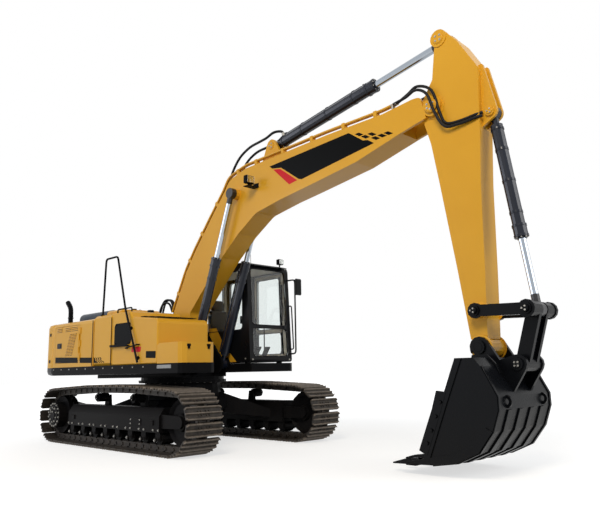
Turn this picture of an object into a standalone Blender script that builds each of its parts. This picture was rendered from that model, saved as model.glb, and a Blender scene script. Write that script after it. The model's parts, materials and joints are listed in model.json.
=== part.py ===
"""Crawler excavator of the 21 tonne class, as separate pieces on their joints.

+X is forward, +Y the machine's left and +Z up, in metres. The sizes below are
measured from the swing axis on the ground. At the end the whole machine is
moved so that the origin is the bottom centre of its bounding box.
"""

from math import atan2, ceil, cos, degrees, hypot, pi, radians, sin, sqrt

import bmesh
import bpy
from mathutils import Matrix, Vector

# General clearances
SEAT = 0.0003           # between pieces that touch
RUNNING = 0.006         # between pieces that move past each other

# Crawler
TRACK_GAUGE = 2.38      # between the centres of the tracks
SHOE_WIDTH = 0.60
WHEEL_SPACING = 3.63    # sprocket to idler
TRACK_RADIUS = 0.455    # outside the lugs, round the sprocket and the idler
TRACK_TOP = 0.965       # lug tips over the carrier rollers
LUG_HEIGHT = 0.026
SHOE_THICKNESS = 0.016
RAIL_HEIGHT = 0.088     # of the chain's links, inside the shoes
RAIL_WIDTH = 0.05
RAIL_SPACING = 0.13     # between the chain's two rails
SHOE_COUNT = 49
TOOTH_COUNT = 21
SPROCKET_WIDTH = 0.05
FINAL_DRIVE_RADIUS = 0.215
FINAL_DRIVE_REACH = 0.24   # from the middle of the track, outwards
CARRIER_SPACING = 1.10
CARRIER_RADIUS = 0.07
ROLLER_COUNT = 8
ROLLER_RADIUS = 0.082
ROLLER_SPAN = 2.62      # first to last roller
FRAME_WIDTH = 0.34      # side frame
FRAME_LENGTH = 2.78
FRAME_BOTTOM = 0.30
FRAME_SHOULDER = 0.52
FRAME_TOP = 0.64
FRAME_RIDGE = 0.18
YOKE_WIDTH = 0.036

# Carbody and slewing ring
BELLY_HEIGHT = 0.44
CARBODY_LENGTH = 1.24
CARBODY_WIDTH = 1.20
CARBODY_TOP = 0.80
TOWER_RADIUS = 0.66
RING_RADIUS = 0.74
RING_BORE = 0.50
RING_BOTTOM = 0.97
RING_TOP = 1.06

# Revolving frame
DECK_HEIGHT = 1.265     # top of the deck
SKIRT_BOTTOM = 1.125
UPPER_WIDTH = 2.72
DECK_FRONT = 1.35
TOOL_BOX_FRONT = 1.93
TOOL_BOX_WIDTH = 0.60
DECK_CORNER = 0.10
BAY_RIGHT = -0.40       # edges of the open bay in which the boom stands
BAY_LEFT = 0.392
BAY_REAR = 0.58
CENTRE_WIDTH = 0.96     # main frame under the deck
BRACKET_BACK = -0.58

# Housings
TAIL_RADIUS = 2.75
COUNTERWEIGHT_FRONT = -2.10
COUNTERWEIGHT_TOP = 2.05
COUNTERWEIGHT_BEVEL = 0.07
HOUSING_FRONT = -0.62
HOUSING_TOP = 2.05
HOUSING_WALL = 0.035
RIGHT_DOOR_FRONT = -1.10
LEFT_DOOR_FRONT = -0.98
DOOR_BORDER = 0.07
DOOR_THICKNESS = 0.03
HOOD_LENGTH = 1.24
HOOD_WIDTH = 1.90
HOOD_RISE = 0.19
HOOD_WALL = 0.02
HYDRAULIC_TANK_FRONT = 0.0
TANK_INNER = -0.45
TANK_TOP = 2.08
FUEL_TANK_FRONT = 1.31
FUEL_TANK_NOSE = 1.92
TOOL_BOX_HEIGHT = 0.27
TOOL_BOX_WALL = 0.02
ENGINE_SIZE = (0.95, 1.10, 0.62)
ENGINE_CENTRE = (-1.50, 0.15)
SWING_MOTOR_RADIUS = 0.16
SWING_MOTOR_HEIGHT = 0.42

# Cab
CAB_REAR = -0.46
CAB_FRONT = 1.32
CAB_TOP_FRONT = 1.235
CAB_RIGHT = 0.392
CAB_LEFT = 1.34
CAB_FLOOR = 1.285
CAB_ROOF = 2.95
CAB_WALL = 0.05
CAB_PILLAR = 0.075
CAB_CORNER = 0.10
WINDOW_CORNER = 0.07
GLASS = 0.008
SILL = 1.87             # between windscreen and lower window
CAB_DOOR_REAR = 0.38
CAB_DOOR_FRONT = 1.17

# Working equipment: pins as (x, z) in the rest pose
BOOM_FOOT = (0.235, 1.717)
BOOM_HEAD = (5.354, 4.224)
ARM_END = (5.785, 1.331)
BOOM_CYLINDER_FOOT = (0.70, 1.27)
BOOM_CYLINDER_EYE = (1.70, 3.90)
ARM_CYLINDER_FOOT = (2.405, 4.553)
ARM_CYLINDER_EYE = (5.48, 5.067)
BUCKET_CYLINDER_FOOT = (6.05, 3.97)
SIDE_LINK_PIN = (5.798, 1.72)
LINK_EYE = (6.38, 1.70)
BUCKET_LINK_PIN = (6.21, 1.144)

BOOM_WIDTH = 0.38
BOOM_FOOT_WIDTH = 0.38
BOOM_CHEEK = 0.04       # plates of the boom's fork
ARM_WIDTH = 0.288
BUCKET_EAR_GAP = 0.33   # between the bucket's ears
EAR_THICKNESS = 0.04
EAR_COLLAR = 0.025
SIDE_LINK_THICKNESS = 0.04
BRACKET_PLATE = 0.038
BOOM_CYLINDER_OFFSET = 0.3075   # each side of the middle
BUCKET_WIDTH = 1.20
BUCKET_WALL = 0.03

# Materials: colour, metallic, roughness
PAINTS = {
    "yellow": ((0.77, 0.37, 0.03, 1.0), 0.0, 0.35),
    "black": ((0.012, 0.013, 0.016, 1.0), 0.0, 0.40),
    "grey": ((0.10, 0.13, 0.17, 1.0), 0.0, 0.45),
    "steel": ((0.10, 0.085, 0.07, 1.0), 0.6, 0.60),
    "chrome": ((0.75, 0.76, 0.78, 1.0), 1.0, 0.15),
    "beige": ((0.50, 0.45, 0.36, 1.0), 0.0, 0.60),
    "fabric": ((0.05, 0.05, 0.055, 1.0), 0.0, 0.90),
    "glass": ((0.55, 0.65, 0.65, 1.0), 0.0, 0.05),
    "lamp": ((0.80, 0.80, 0.78, 1.0), 0.2, 0.10),
}


def remove_everything():
    for item in list(bpy.data.objects):
        bpy.data.objects.remove(item, do_unlink=True)


def paint(name):
    """One Principled material, made once."""
    material = bpy.data.materials.get(name)
    if material is None:
        colour, metallic, roughness = PAINTS[name]
        material = bpy.data.materials.new(name)
        material.use_nodes = True
        shader = material.node_tree.nodes["Principled BSDF"]
        shader.inputs["Base Color"].default_value = colour
        shader.inputs["Metallic"].default_value = metallic
        shader.inputs["Roughness"].default_value = roughness
        material.diffuse_color = colour
    return material


# Outlines, as lists of (u, v) that run counter-clockwise

def arc(centre, radius, start, end, steps):
    """Points on an arc between two angles in degrees."""
    turn = [start + (end - start) * i / steps for i in range(steps + 1)]
    return [(centre[0] + radius * cos(radians(a)), centre[1] + radius * sin(radians(a))) for a in turn]


def belt_turns(circles):
    """Where a belt laid round circles (u, v, radius) turns: each circle with its start and sweep."""
    count = len(circles)
    normals = []
    for i, (u0, v0, r0) in enumerate(circles):
        u1, v1, r1 = circles[(i + 1) % count]
        du, dv = u1 - u0, v1 - v0
        reach = hypot(du, dv)
        lean = (r0 - r1) / reach
        along = (du / reach, dv / reach)
        across = sqrt(max(0.0, 1.0 - lean * lean))
        normals.append(atan2(-across * along[0] + lean * along[1], across * along[1] + lean * along[0]))
    turns = []
    for i, (u, v, radius) in enumerate(circles):
        sweep = (normals[i] - normals[i - 1]) % (2 * pi)
        turns.append((u, v, radius, normals[i - 1], sweep if sweep < pi * 1.5 else 0.0))
    return turns


def belt(circles, step=30.0):
    """Outline of a belt laid round circles (u, v, radius) that are listed counter-clockwise."""
    points = []
    for u, v, radius, start, sweep in belt_turns(circles):
        if radius <= 0:
            points.append((u, v))
            continue
        steps = max(1, ceil(degrees(sweep) / step))
        points += [(u + radius * cos(start + sweep * k / steps),
                    v + radius * sin(start + sweep * k / steps)) for k in range(steps + 1)]
    return points


def rounded(corners, radius, steps=2):
    """A polygon with each corner rounded; a corner may carry its own radius as a third value."""
    points = []
    count = len(corners)
    for i, corner in enumerate(corners):
        here = Vector(corner[:2])
        size = corner[2] if len(corner) > 2 else radius
        back = (Vector(corners[i - 1][:2]) - here)
        ahead = (Vector(corners[(i + 1) % count][:2]) - here)
        half = back.angle(ahead) / 2
        if size <= 0 or half > radians(88):
            points.append(tuple(here))
            continue
        inset = min(size / abs(sin(half) / cos(half)), 0.48 * back.length, 0.48 * ahead.length)
        start, end = here + back.normalized() * inset, here + ahead.normalized() * inset
        middle = here + (back.normalized() + ahead.normalized()).normalized() * (inset / cos(half))
        first, last = start - middle, end - middle
        swing = atan2(first.x * last.y - first.y * last.x, first.dot(last))
        for k in range(steps + 1):
            a = swing * k / steps
            points.append((middle.x + first.x * cos(a) - first.y * sin(a),
                           middle.y + first.x * sin(a) + first.y * cos(a)))
    return points


# Solids, each a temporary object in the machine's own frame

def from_bmesh(shape):
    bmesh.ops.recalc_face_normals(shape, faces=shape.faces)
    mesh = bpy.data.meshes.new("shape")
    shape.to_mesh(mesh)
    shape.free()
    item = bpy.data.objects.new("shape", mesh)
    bpy.context.scene.collection.objects.link(item)
    return item


SIDE = {"y": lambda u, v, t: (u, t, v), "x": lambda u, v, t: (t, u, v), "z": lambda u, v, t: (u, v, t)}


def prism(outline, low, high, along="y"):
    """An outline pushed from low to high along an axis."""
    shape = bmesh.new()
    place = SIDE[along]
    near, far = ([shape.verts.new(place(u, v, t)) for u, v in outline] for t in (low, high))
    for i in range(len(outline)):
        j = (i + 1) % len(outline)
        shape.faces.new((near[i], near[j], far[j], far[i]))
    shape.faces.new(near)
    shape.faces.new(far)
    return from_bmesh(shape)


def box(low, high):
    corners = ((low[0], low[2]), (high[0], low[2]), (high[0], high[2]), (low[0], high[2]))
    return prism(corners, low[1], high[1])


def hull(points):
    """The convex body round some points."""
    shape = bmesh.new()
    for point in points:
        shape.verts.new(point)
    bmesh.ops.convex_hull(shape, input=shape.verts)
    loose = [v for v in shape.verts if not v.link_faces]
    bmesh.ops.delete(shape, geom=loose, context="VERTS")
    return from_bmesh(shape)


def rod(start, end, radius, sides=12, end_radius=None):
    """A round bar between two points."""
    start, end = Vector(start), Vector(end)
    line = end - start
    turn = line.to_track_quat("Z", "Y").to_matrix().to_4x4()
    place = Matrix.Translation((start + end) / 2) @ turn
    shape = bmesh.new()
    bmesh.ops.create_cone(shape, cap_ends=True, segments=sides, radius1=radius,
                          radius2=radius if end_radius is None else end_radius,
                          depth=line.length, matrix=place)
    return from_bmesh(shape)


def pin(at, radius, low, high, sides=12):
    """A round bar along Y at a pin's (x, z)."""
    return rod((at[0], low, at[1]), (at[0], high, at[1]), radius, sides)


def lathe(start, end, profile, sides=14):
    """A solid turned about the line from start towards end; the profile is (distance, radius), ends on the line."""
    start, line = Vector(start), Vector(end) - Vector(start)
    place = Matrix.Translation(start) @ line.to_track_quat("Z", "Y").to_matrix().to_4x4()
    shape = bmesh.new()
    loops = []
    for distance, radius in profile:
        if radius <= 0:
            loops.append([shape.verts.new(place @ Vector((0, 0, distance)))])
            continue
        loops.append([shape.verts.new(place @ Vector((radius * cos(a), radius * sin(a), distance)))
                      for a in (2 * pi * k / sides for k in range(sides))])
    for here, there in zip(loops, loops[1:]):
        for k in range(sides):
            corners = [here[k % len(here)], here[(k + 1) % sides % len(here)],
                       there[(k + 1) % sides % len(there)], there[k % len(there)]]
            shape.faces.new(list(dict.fromkeys(corners)))
    return from_bmesh(shape)


def turned(profile, axis_at, sides=20, along="y"):
    """A profile of (radius, t) turned about an axis through (u, v)."""
    shape = bmesh.new()
    place = SIDE[along]
    loops = []
    for i in range(sides):
        a = 2 * pi * i / sides
        loops.append([shape.verts.new(place(axis_at[0] + r * cos(a), axis_at[1] + r * sin(a), t))
                      for r, t in profile])
    for i in range(sides):
        here, there = loops[i], loops[(i + 1) % sides]
        for k in range(len(profile)):
            m = (k + 1) % len(profile)
            shape.faces.new((here[k], here[m], there[m], there[k]))
    return from_bmesh(shape)


def tube(points, radius, corner=0.08, steps=3, resolution=2):
    """A round tube along points, with its bends rounded, as one closed mesh."""
    route = [Vector(points[0])]
    for i in range(1, len(points) - 1):
        here = Vector(points[i])
        back, ahead = Vector(points[i - 1]) - here, Vector(points[i + 1]) - here
        inset = min(corner, 0.45 * back.length, 0.45 * ahead.length)
        start, end = here + back.normalized() * inset, here + ahead.normalized() * inset
        for k in range(steps + 1):
            t = k / steps
            route.append((1 - t) ** 2 * start + 2 * t * (1 - t) * here + t ** 2 * end)
    route.append(Vector(points[-1]))
    curve = bpy.data.curves.new("tube", "CURVE")
    curve.dimensions = "3D"
    curve.bevel_depth = radius
    curve.bevel_resolution = resolution
    curve.use_fill_caps = True
    line = curve.splines.new("POLY")
    line.points.add(len(route) - 1)
    for spot, point in zip(line.points, route):
        spot.co = (*point, 1.0)
    item = bpy.data.objects.new("tube", curve)
    bpy.context.scene.collection.objects.link(item)
    mesh = bpy.data.meshes.new_from_object(item.evaluated_get(bpy.context.evaluated_depsgraph_get()))
    bpy.data.objects.remove(item, do_unlink=True)
    shape = bmesh.new()
    shape.from_mesh(mesh)
    bmesh.ops.remove_doubles(shape, verts=shape.verts, dist=0.00001)
    return from_bmesh(shape)


def chamfer(item, width, segments=1, angle=40):
    """Bevels the edges of a solid that are sharper than an angle."""
    edge = item.modifiers.new("bevel", "BEVEL")
    edge.width = width
    edge.segments = segments
    edge.limit_method = "ANGLE"
    edge.angle_limit = radians(angle)
    return item


def mirrored(build):
    """Runs a builder for the right side (-1) and the left side (+1)."""
    return [build(side) for side in (-1, 1)]


def span(side, near, far):
    """Two offsets from the middle, as low and high on one side."""
    return sorted((side * near, side * far))


# Assembly

PIVOTS = {}
EMPTIES = {}


def body(name, parent, pivot):
    """An empty on a joint's axis, which carries the pieces of one body."""
    item = bpy.data.objects.new("body_" + name, None)
    bpy.context.scene.collection.objects.link(item)
    item.empty_display_size = 0.2
    PIVOTS[name] = Vector(pivot)
    EMPTIES[name] = item
    if parent:
        item.parent = EMPTIES[parent]
        item.location = PIVOTS[name] - PIVOTS[parent]
    else:
        item.location = PIVOTS[name]
    return item


def piece(name, body_name, colour, parts, cuts=()):
    """Joins temporary solids, cuts others away and seats the result on its body."""
    base, rest = parts[0], list(parts[1:])
    for operation, group in (("UNION", rest), ("DIFFERENCE", cuts)):
        for other in group:
            step = base.modifiers.new(operation.lower(), "BOOLEAN")
            step.operation = operation
            step.solver = "EXACT"
            step.object = other
    base_view = base.evaluated_get(bpy.context.evaluated_depsgraph_get())
    mesh = bpy.data.meshes.new_from_object(base_view)
    for temporary in [base, *rest, *cuts]:
        bpy.data.objects.remove(temporary, do_unlink=True)
    mesh.transform(Matrix.Translation(-PIVOTS[body_name]))
    mesh.materials.clear()
    mesh.materials.append(paint(colour))
    mesh.name = name
    mesh.shade_smooth()
    mesh.set_sharp_from_angle(angle=radians(35))
    item = bpy.data.objects.new(name, mesh)
    bpy.context.scene.collection.objects.link(item)
    item.parent = EMPTIES[body_name]
    return item


def at_y(point, y):
    return (point[0], y, point[1])


def toward(start, end, distance):
    """The point that lies a distance from one pin towards another, in (x, z)."""
    reach = hypot(end[0] - start[0], end[1] - start[1])
    return (start[0] + (end[0] - start[0]) * distance / reach,
            start[1] + (end[1] - start[1]) * distance / reach)


# Crawler

SHOE_INSIDE = RAIL_HEIGHT
SHOE_OUTSIDE = RAIL_HEIGHT + SHOE_THICKNESS
LUG_TIP = SHOE_OUTSIDE + LUG_HEIGHT
PITCH_LINE = RAIL_HEIGHT / 2
RAIL_RADIUS = TRACK_RADIUS - LUG_TIP
CARRIER_Z = TRACK_TOP - LUG_TIP - CARRIER_RADIUS


def track_circles():
    """Sprocket, idler and carrier rollers, as the inside of the chain's rails passes round them."""
    half, carrier = WHEEL_SPACING / 2, CARRIER_SPACING / 2
    return ((-half, TRACK_RADIUS, RAIL_RADIUS), (half, TRACK_RADIUS, RAIL_RADIUS),
            (carrier, CARRIER_Z, CARRIER_RADIUS), (-carrier, CARRIER_Z, CARRIER_RADIUS))


def track_runs():
    """The chain as runs of (length, start point, direction or centre, radius, start angle)."""
    turns = belt_turns(track_circles())
    runs = []
    for i, (u, v, radius, start, sweep) in enumerate(turns):
        runs.append(((radius + PITCH_LINE) * sweep, (u, v), radius, start))
        leave = start + sweep
        u1, v1, radius1 = turns[(i + 1) % len(turns)][:3]
        begin = (u + radius * cos(leave), v + radius * sin(leave))
        end = (u1 + radius1 * cos(leave), v1 + radius1 * sin(leave))
        runs.append((hypot(end[0] - begin[0], end[1] - begin[1]), begin, None, leave))
    return runs


def track_stations():
    """Joints of the chain, evenly spaced: point on the rails' inside and angle of the outward normal."""
    runs = track_runs()
    pitch = sum(run[0] for run in runs) / SHOE_COUNT
    stations = []
    travelled, due = 0.0, pitch / 2
    for length, at, radius, angle in runs:
        while due < travelled + length and len(stations) < SHOE_COUNT:
            beyond = due - travelled
            if radius is None:
                stations.append((at[0] - sin(angle) * beyond, at[1] + cos(angle) * beyond, angle))
            else:
                turn = angle + beyond / (radius + PITCH_LINE)
                stations.append((at[0] + radius * cos(turn), at[1] + radius * sin(turn), turn))
            due += pitch
        travelled += length
    return stations


def chord_drop():
    """How far the rails' straight links pass inside their joints round a wheel."""
    pitch = sum(run[0] for run in track_runs()) / SHOE_COUNT
    return RAIL_RADIUS * (1 - cos(pitch / (RAIL_RADIUS + PITCH_LINE) / 2))


# Outside of one shoe, as (share of its length, height over the rails' inside)
SHOE_PROFILE = ((0.0, LUG_TIP),)


def track(side):
    """A closed chain of shoes on two rails."""
    name = "right" if side < 0 else "left"
    middle, half = side * TRACK_GAUGE / 2, SHOE_WIDTH / 2
    near, far = (RAIL_SPACING - RAIL_WIDTH) / 2, (RAIL_SPACING + RAIL_WIDTH) / 2
    inside = ((SHOE_INSIDE, half), (SHOE_INSIDE, far), (0.0, far), (0.0, near), (SHOE_INSIDE, near),
              (SHOE_INSIDE, -near), (0.0, -near), (0.0, -far), (SHOE_INSIDE, -far), (SHOE_INSIDE, -half))
    stations = track_stations()
    shape = bmesh.new()

    def spot(station, height):
        x, z, turn = station
        return x + height * cos(turn), z + height * sin(turn)

    rings, crowns = [], []
    for k, here in enumerate(stations):
        there = stations[(k + 1) % len(stations)]
        ring_points = []
        for height, offset in inside:
            x, z = spot(here, height)
            ring_points.append(shape.verts.new((x, middle + offset, z)))
        rings.append(ring_points)
        crown = []
        for share, height in SHOE_PROFILE:
            start, end = spot(here, height), spot(there, height)
            x, z = (start[i] + (end[i] - start[i]) * share for i in (0, 1))
            crown.append([shape.verts.new((x, middle + offset, z)) for offset in (half, -half)])
        crowns.append(crown)
    for k, here in enumerate(rings):
        there = rings[(k + 1) % len(rings)]
        for j in range(len(inside) - 1):
            shape.faces.new((here[j], here[j + 1], there[j + 1], there[j]))
        crown = crowns[k] + crowns[(k + 1) % len(rings)][:1]
        for low, high in zip(crown, crown[1:]):
            shape.faces.new((low[0], high[0], high[1], low[1]))
        for edge, j in ((0, 0), (1, len(inside) - 1)):
            shape.faces.new((here[j], there[j], *[pair[edge] for pair in reversed(crown)]))
    piece("track_" + name, "undercarriage", "steel", [from_bmesh(shape)])


def sprocket(side):
    name = "right" if side < 0 else "left"
    middle = side * TRACK_GAUGE / 2
    centre = (-WHEEL_SPACING / 2, TRACK_RADIUS)
    seat = RAIL_RADIUS - chord_drop() - SEAT
    tip, root = RAIL_RADIUS + 0.5 * RAIL_HEIGHT, seat - 0.02
    teeth = []
    for k in range(TOOTH_COUNT):
        middle_angle = 360 * k / TOOTH_COUNT
        for turn, radius in ((-6.0, root), (-2.4, tip), (2.4, tip), (6.0, root)):
            teeth += arc(centre, radius, middle_angle + turn, middle_angle + turn, 1)[:1]
    wheel = prism(teeth, middle - SPROCKET_WIDTH / 2, middle + SPROCKET_WIDTH / 2)
    rim = (RAIL_SPACING + RAIL_WIDTH) / 2
    outer = middle + side * FINAL_DRIVE_REACH
    inner = middle - side * (FRAME_WIDTH / 2 - 0.05 - SEAT)
    low, high = sorted((outer, inner))
    drive = pin(centre, FINAL_DRIVE_RADIUS, low, high, 18)
    half = SPROCKET_WIDTH / 2 + 0.004
    treads = []
    for turn in (-1, 1):
        low, high = sorted((middle + turn * half, middle + turn * rim))
        treads.append(pin(centre, seat, low, high, 20))
    hub = pin(centre, root - 0.03, middle - rim + 0.02, middle + rim - 0.02, 16)
    piece("sprocket_" + name, "undercarriage", "black", [drive, wheel, hub, *treads])


def idler(side):
    name = "right" if side < 0 else "left"
    middle = side * TRACK_GAUGE / 2
    seat = RAIL_RADIUS - chord_drop() - SEAT
    flange = RAIL_RADIUS + 0.02
    rim, slot = (RAIL_SPACING + RAIL_WIDTH) / 2, (RAIL_SPACING - RAIL_WIDTH) / 2 - 0.008
    centre = (WHEEL_SPACING / 2, TRACK_RADIUS)
    axle = rim + 0.01 - SEAT
    profile = ((0.05, middle - axle), (0.11, middle - axle), (0.13, middle - 0.05), (seat - 0.05, middle - 0.05),
               (seat, middle - rim), (seat, middle + rim), (seat - 0.05, middle + 0.05), (0.13, middle + 0.05),
               (0.11, middle + axle), (0.05, middle + axle))
    guide = pin(centre, flange, middle - slot, middle + slot, 24)
    piece("idler_" + name, "undercarriage", "black", [turned(profile, centre, 24), guide])


def track_frame(side):
    name = "right" if side < 0 else "left"
    middle = side * TRACK_GAUGE / 2
    half, ridge = FRAME_WIDTH / 2, FRAME_RIDGE / 2
    section = ((middle - half, FRAME_BOTTOM), (middle + half, FRAME_BOTTOM), (middle + half, FRAME_SHOULDER),
               (middle + ridge, FRAME_TOP), (middle - ridge, FRAME_TOP), (middle - half, FRAME_SHOULDER))
    back, front = -FRAME_LENGTH / 2, FRAME_LENGTH / 2
    parts = [prism(section, back, front, along="x")]
    rim = RAIL_SPACING / 2 + RAIL_WIDTH / 2
    # Yoke beside the idler, and the plate that carries the final drive
    for turn in (-1, 1):
        low, high = sorted((middle + turn * (rim + 0.01), middle + turn * (rim + 0.01 + YOKE_WIDTH)))
        outline = belt(((front - 0.2, TRACK_RADIUS, 0.10), (WHEEL_SPACING / 2, TRACK_RADIUS, 0.085)))
        parts.append(prism(outline, low, high))
    low, high = sorted((middle - side * half, middle - side * (half - 0.05)))
    outline = belt(((-WHEEL_SPACING / 2, TRACK_RADIUS, FINAL_DRIVE_RADIUS), (back + 0.2, TRACK_RADIUS, 0.15)))
    parts.append(prism(outline, low, high))
    # Bottom rollers with their brackets
    tread_z = TRACK_RADIUS - RAIL_RADIUS + ROLLER_RADIUS + SEAT
    for k in range(ROLLER_COUNT):
        x = -ROLLER_SPAN / 2 + ROLLER_SPAN * k / (ROLLER_COUNT - 1)
        parts.append(pin((x, tread_z), ROLLER_RADIUS, middle - rim - 0.012, middle + rim + 0.012))
        for turn in (-1, 1):
            low, high = sorted((middle + turn * (rim + 0.008), middle + turn * (rim + 0.045)))
            parts.append(box((x - 0.06, low, tread_z - 0.03), (x + 0.06, high, FRAME_BOTTOM + 0.01)))
    # Carrier rollers on posts
    for x in (-CARRIER_SPACING / 2, CARRIER_SPACING / 2):
        axle = CARRIER_Z - 0.004
        parts.append(pin((x, axle), CARRIER_RADIUS, middle - rim, middle + rim))
        low, high = sorted((middle - side * (rim - 0.01), middle - side * (rim + 0.045)))
        parts.append(prism(((x - 0.09, FRAME_SHOULDER), (x + 0.09, FRAME_SHOULDER), (x + 0.05, axle + 0.04),
                            (x - 0.05, axle + 0.04)), low, high))
    piece("track_frame_" + name, "undercarriage", "black", parts)


def carbody():
    half_x, half_y = CARBODY_LENGTH / 2, CARBODY_WIDTH / 2
    inner = TRACK_GAUGE / 2 - FRAME_WIDTH / 2 - SEAT
    core = chamfer(box((-half_x, -half_y, BELLY_HEIGHT), (half_x, half_y, CARBODY_TOP)), 0.12)
    parts = [core, rod((0, 0, CARBODY_TOP - 0.1), (0, 0, RING_BOTTOM - SEAT), TOWER_RADIUS, 24, TOWER_RADIUS - 0.03)]
    for side in (-1, 1):
        for end in (-1, 1):
            ends = []
            for y, x0, x1, z0, z1 in ((side * (half_y - 0.15), 0.12, half_x - 0.04, BELLY_HEIGHT + 0.02, CARBODY_TOP - 0.02),
                                      (side * inner, 0.62, 1.10, FRAME_BOTTOM + 0.06, FRAME_SHOULDER - 0.02)):
                ends += [(end * x, y, z) for x in (x0, x1) for z in (z0, z1)]
            parts.append(hull(ends))
    piece("carbody", "undercarriage", "black", parts)
    middle = (RING_BOTTOM + RING_TOP) / 2
    profile = ((RING_BORE, RING_BOTTOM), (RING_RADIUS, RING_BOTTOM), (RING_RADIUS, middle),
               (RING_RADIUS - 0.04, middle), (RING_RADIUS - 0.04, RING_TOP), (RING_BORE, RING_TOP))
    piece("slewing_ring", "undercarriage", "black", [turned(profile, (0.0, 0.0), 32, along="z")])


# Revolving frame

def foot_plate(side, near, far, circles):
    low, high = span(side, near, far)
    return prism(belt(circles), low, high)


def revolving_frame():
    half = UPPER_WIDTH / 2
    tail = COUNTERWEIGHT_FRONT
    outline = rounded(((tail, -half, 0), (TOOL_BOX_FRONT, -half), (TOOL_BOX_FRONT, TOOL_BOX_WIDTH - half),
                       (DECK_FRONT, TOOL_BOX_WIDTH - half, 0), (DECK_FRONT, BAY_RIGHT, 0.02), (BAY_REAR, BAY_RIGHT, 0),
                       (BAY_REAR, BAY_LEFT, 0), (DECK_FRONT, BAY_LEFT, 0.02), (DECK_FRONT, half), (tail, half, 0)),
                      DECK_CORNER)
    parts = [prism(outline, SKIRT_BOTTOM, DECK_HEIGHT, along="z")]
    parts.append(box((tail, -CENTRE_WIDTH / 2, RING_TOP + SEAT), (BAY_REAR, CENTRE_WIDTH / 2, SKIRT_BOTTOM + 0.03)))
    foot, cylinder = BOOM_FOOT, BOOM_CYLINDER_FOOT
    low_z = RING_TOP + 0.03
    inner = BOOM_FOOT_WIDTH / 2 + SEAT
    eye = CYLINDERS["boom"]["eye_width"] / 2
    for side in (-1, 1):
        main = ((BRACKET_BACK, low_z, 0), (cylinder[0] - 0.05, low_z, 0), (*cylinder, 0.13), (*foot, 0.17),
                (BRACKET_BACK + 0.15, DECK_HEIGHT + 0.05, 0.03), (BRACKET_BACK, DECK_HEIGHT - 0.02, 0))
        parts.append(foot_plate(side, inner, inner + BRACKET_PLATE, main))
        collar = BOOM_CYLINDER_OFFSET - eye - SEAT
        low, high = span(side, inner + 0.01, collar)
        parts.append(pin(cylinder, 0.09, low, high))
        low, high = span(side, inner + 0.01, inner + BRACKET_PLATE + 0.02)
        parts.append(pin(foot, 0.12, low, high))
        outer = BOOM_CYLINDER_OFFSET + eye + SEAT
        cheek = ((cylinder[0] - 0.42, low_z, 0), (cylinder[0] - 0.06, low_z, 0), (*cylinder, 0.11),
                 (cylinder[0] - 0.40, DECK_HEIGHT + 0.02, 0))
        parts.append(foot_plate(side, outer, outer + 0.03, cheek))
    piece("revolving_frame", "upper", "black", parts)


def counterweight():
    half = UPPER_WIDTH / 2
    turn = degrees(atan2(half, sqrt(TAIL_RADIUS ** 2 - half ** 2)))
    tail = arc((0, 0), TAIL_RADIUS, 180 + turn, 180 - turn, 8)
    front = COUNTERWEIGHT_FRONT - SEAT
    outline = rounded([(front, half, 0), *[(x, y, 0.16 if abs(abs(y) - half) < 0.001 else 0) for x, y in reversed(tail)],
                       (front, -half, 0)], 0.0, 3)
    solid = chamfer(prism(outline, SKIRT_BOTTOM, COUNTERWEIGHT_TOP, along="z"), COUNTERWEIGHT_BEVEL, 2)
    piece("counterweight", "upper", "yellow", [solid])


def machinery():
    size, centre = ENGINE_SIZE, ENGINE_CENTRE
    low = DECK_HEIGHT + SEAT
    block = box((centre[0] - size[0] / 2, centre[1] - size[1] / 2, low),
                (centre[0] + size[0] / 2, centre[1] + size[1] / 2, low + size[2]))
    piece("engine", "upper", "steel", [chamfer(block, 0.04)])
    spot = (-0.36, 0.0)
    top = low + SWING_MOTOR_HEIGHT
    piece("swing_motor", "upper", "black",
          [rod((*spot, low), (*spot, low + 0.2), SWING_MOTOR_RADIUS, 16),
           rod((*spot, low + 0.15), (*spot, top), SWING_MOTOR_RADIUS * 0.7, 12)])


# Housings

DOOR_LOW, DOOR_HIGH = DECK_HEIGHT + SEAT + DOOR_BORDER, HOUSING_TOP - DOOR_BORDER


def door_opening(side):
    """Rear and front x of the opening in a side wall."""
    return COUNTERWEIGHT_FRONT + DOOR_BORDER, RIGHT_DOOR_FRONT if side < 0 else LEFT_DOOR_FRONT


HINGE_RADIUS = 0.012
HINGE_OFFSET = 0.0125   # axis outside the surface


def hinge_knuckles(axis_at, along, start, end, count, leaf, inward, own, reach=0.045):
    """Knuckles with leaves along a hinge line; every second one belongs to the moving piece.

    axis_at is a point on the axis, leaf points over the piece's own side and inward into its surface.
    """
    axis_at, along, leaf, inward = (Vector(v) for v in (axis_at, along, leaf, inward))
    parts = []
    step = (end - start) / count
    for k in range(count):
        if (k % 2 == 1) != own:
            continue
        low = axis_at + along * (start + step * k + SEAT / 2)
        high = axis_at + along * (start + step * (k + 1) - SEAT / 2)
        parts.append(rod(low, high, HINGE_RADIUS, 6))
        corners = []
        for point in (low, high):
            for out in (0.0, reach):
                for depth in (-0.004, HINGE_OFFSET + 0.004):
                    corners.append(point + leaf * out + inward * depth)
        parts.append(hull(corners))
    return parts


def side_door_hinge(side):
    """Axis of a side door, at the front edge of its opening."""
    front = door_opening(side)[1]
    return (front - RUNNING / 2, side * (UPPER_WIDTH / 2 + HINGE_OFFSET), 0.0)


def hood_hinge():
    """Axis of the engine hood, along its front edge."""
    front = COUNTERWEIGHT_FRONT + 0.06 + HOOD_LENGTH
    return (front + HINGE_OFFSET, 0.0, HOUSING_TOP + HINGE_OFFSET)


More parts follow.
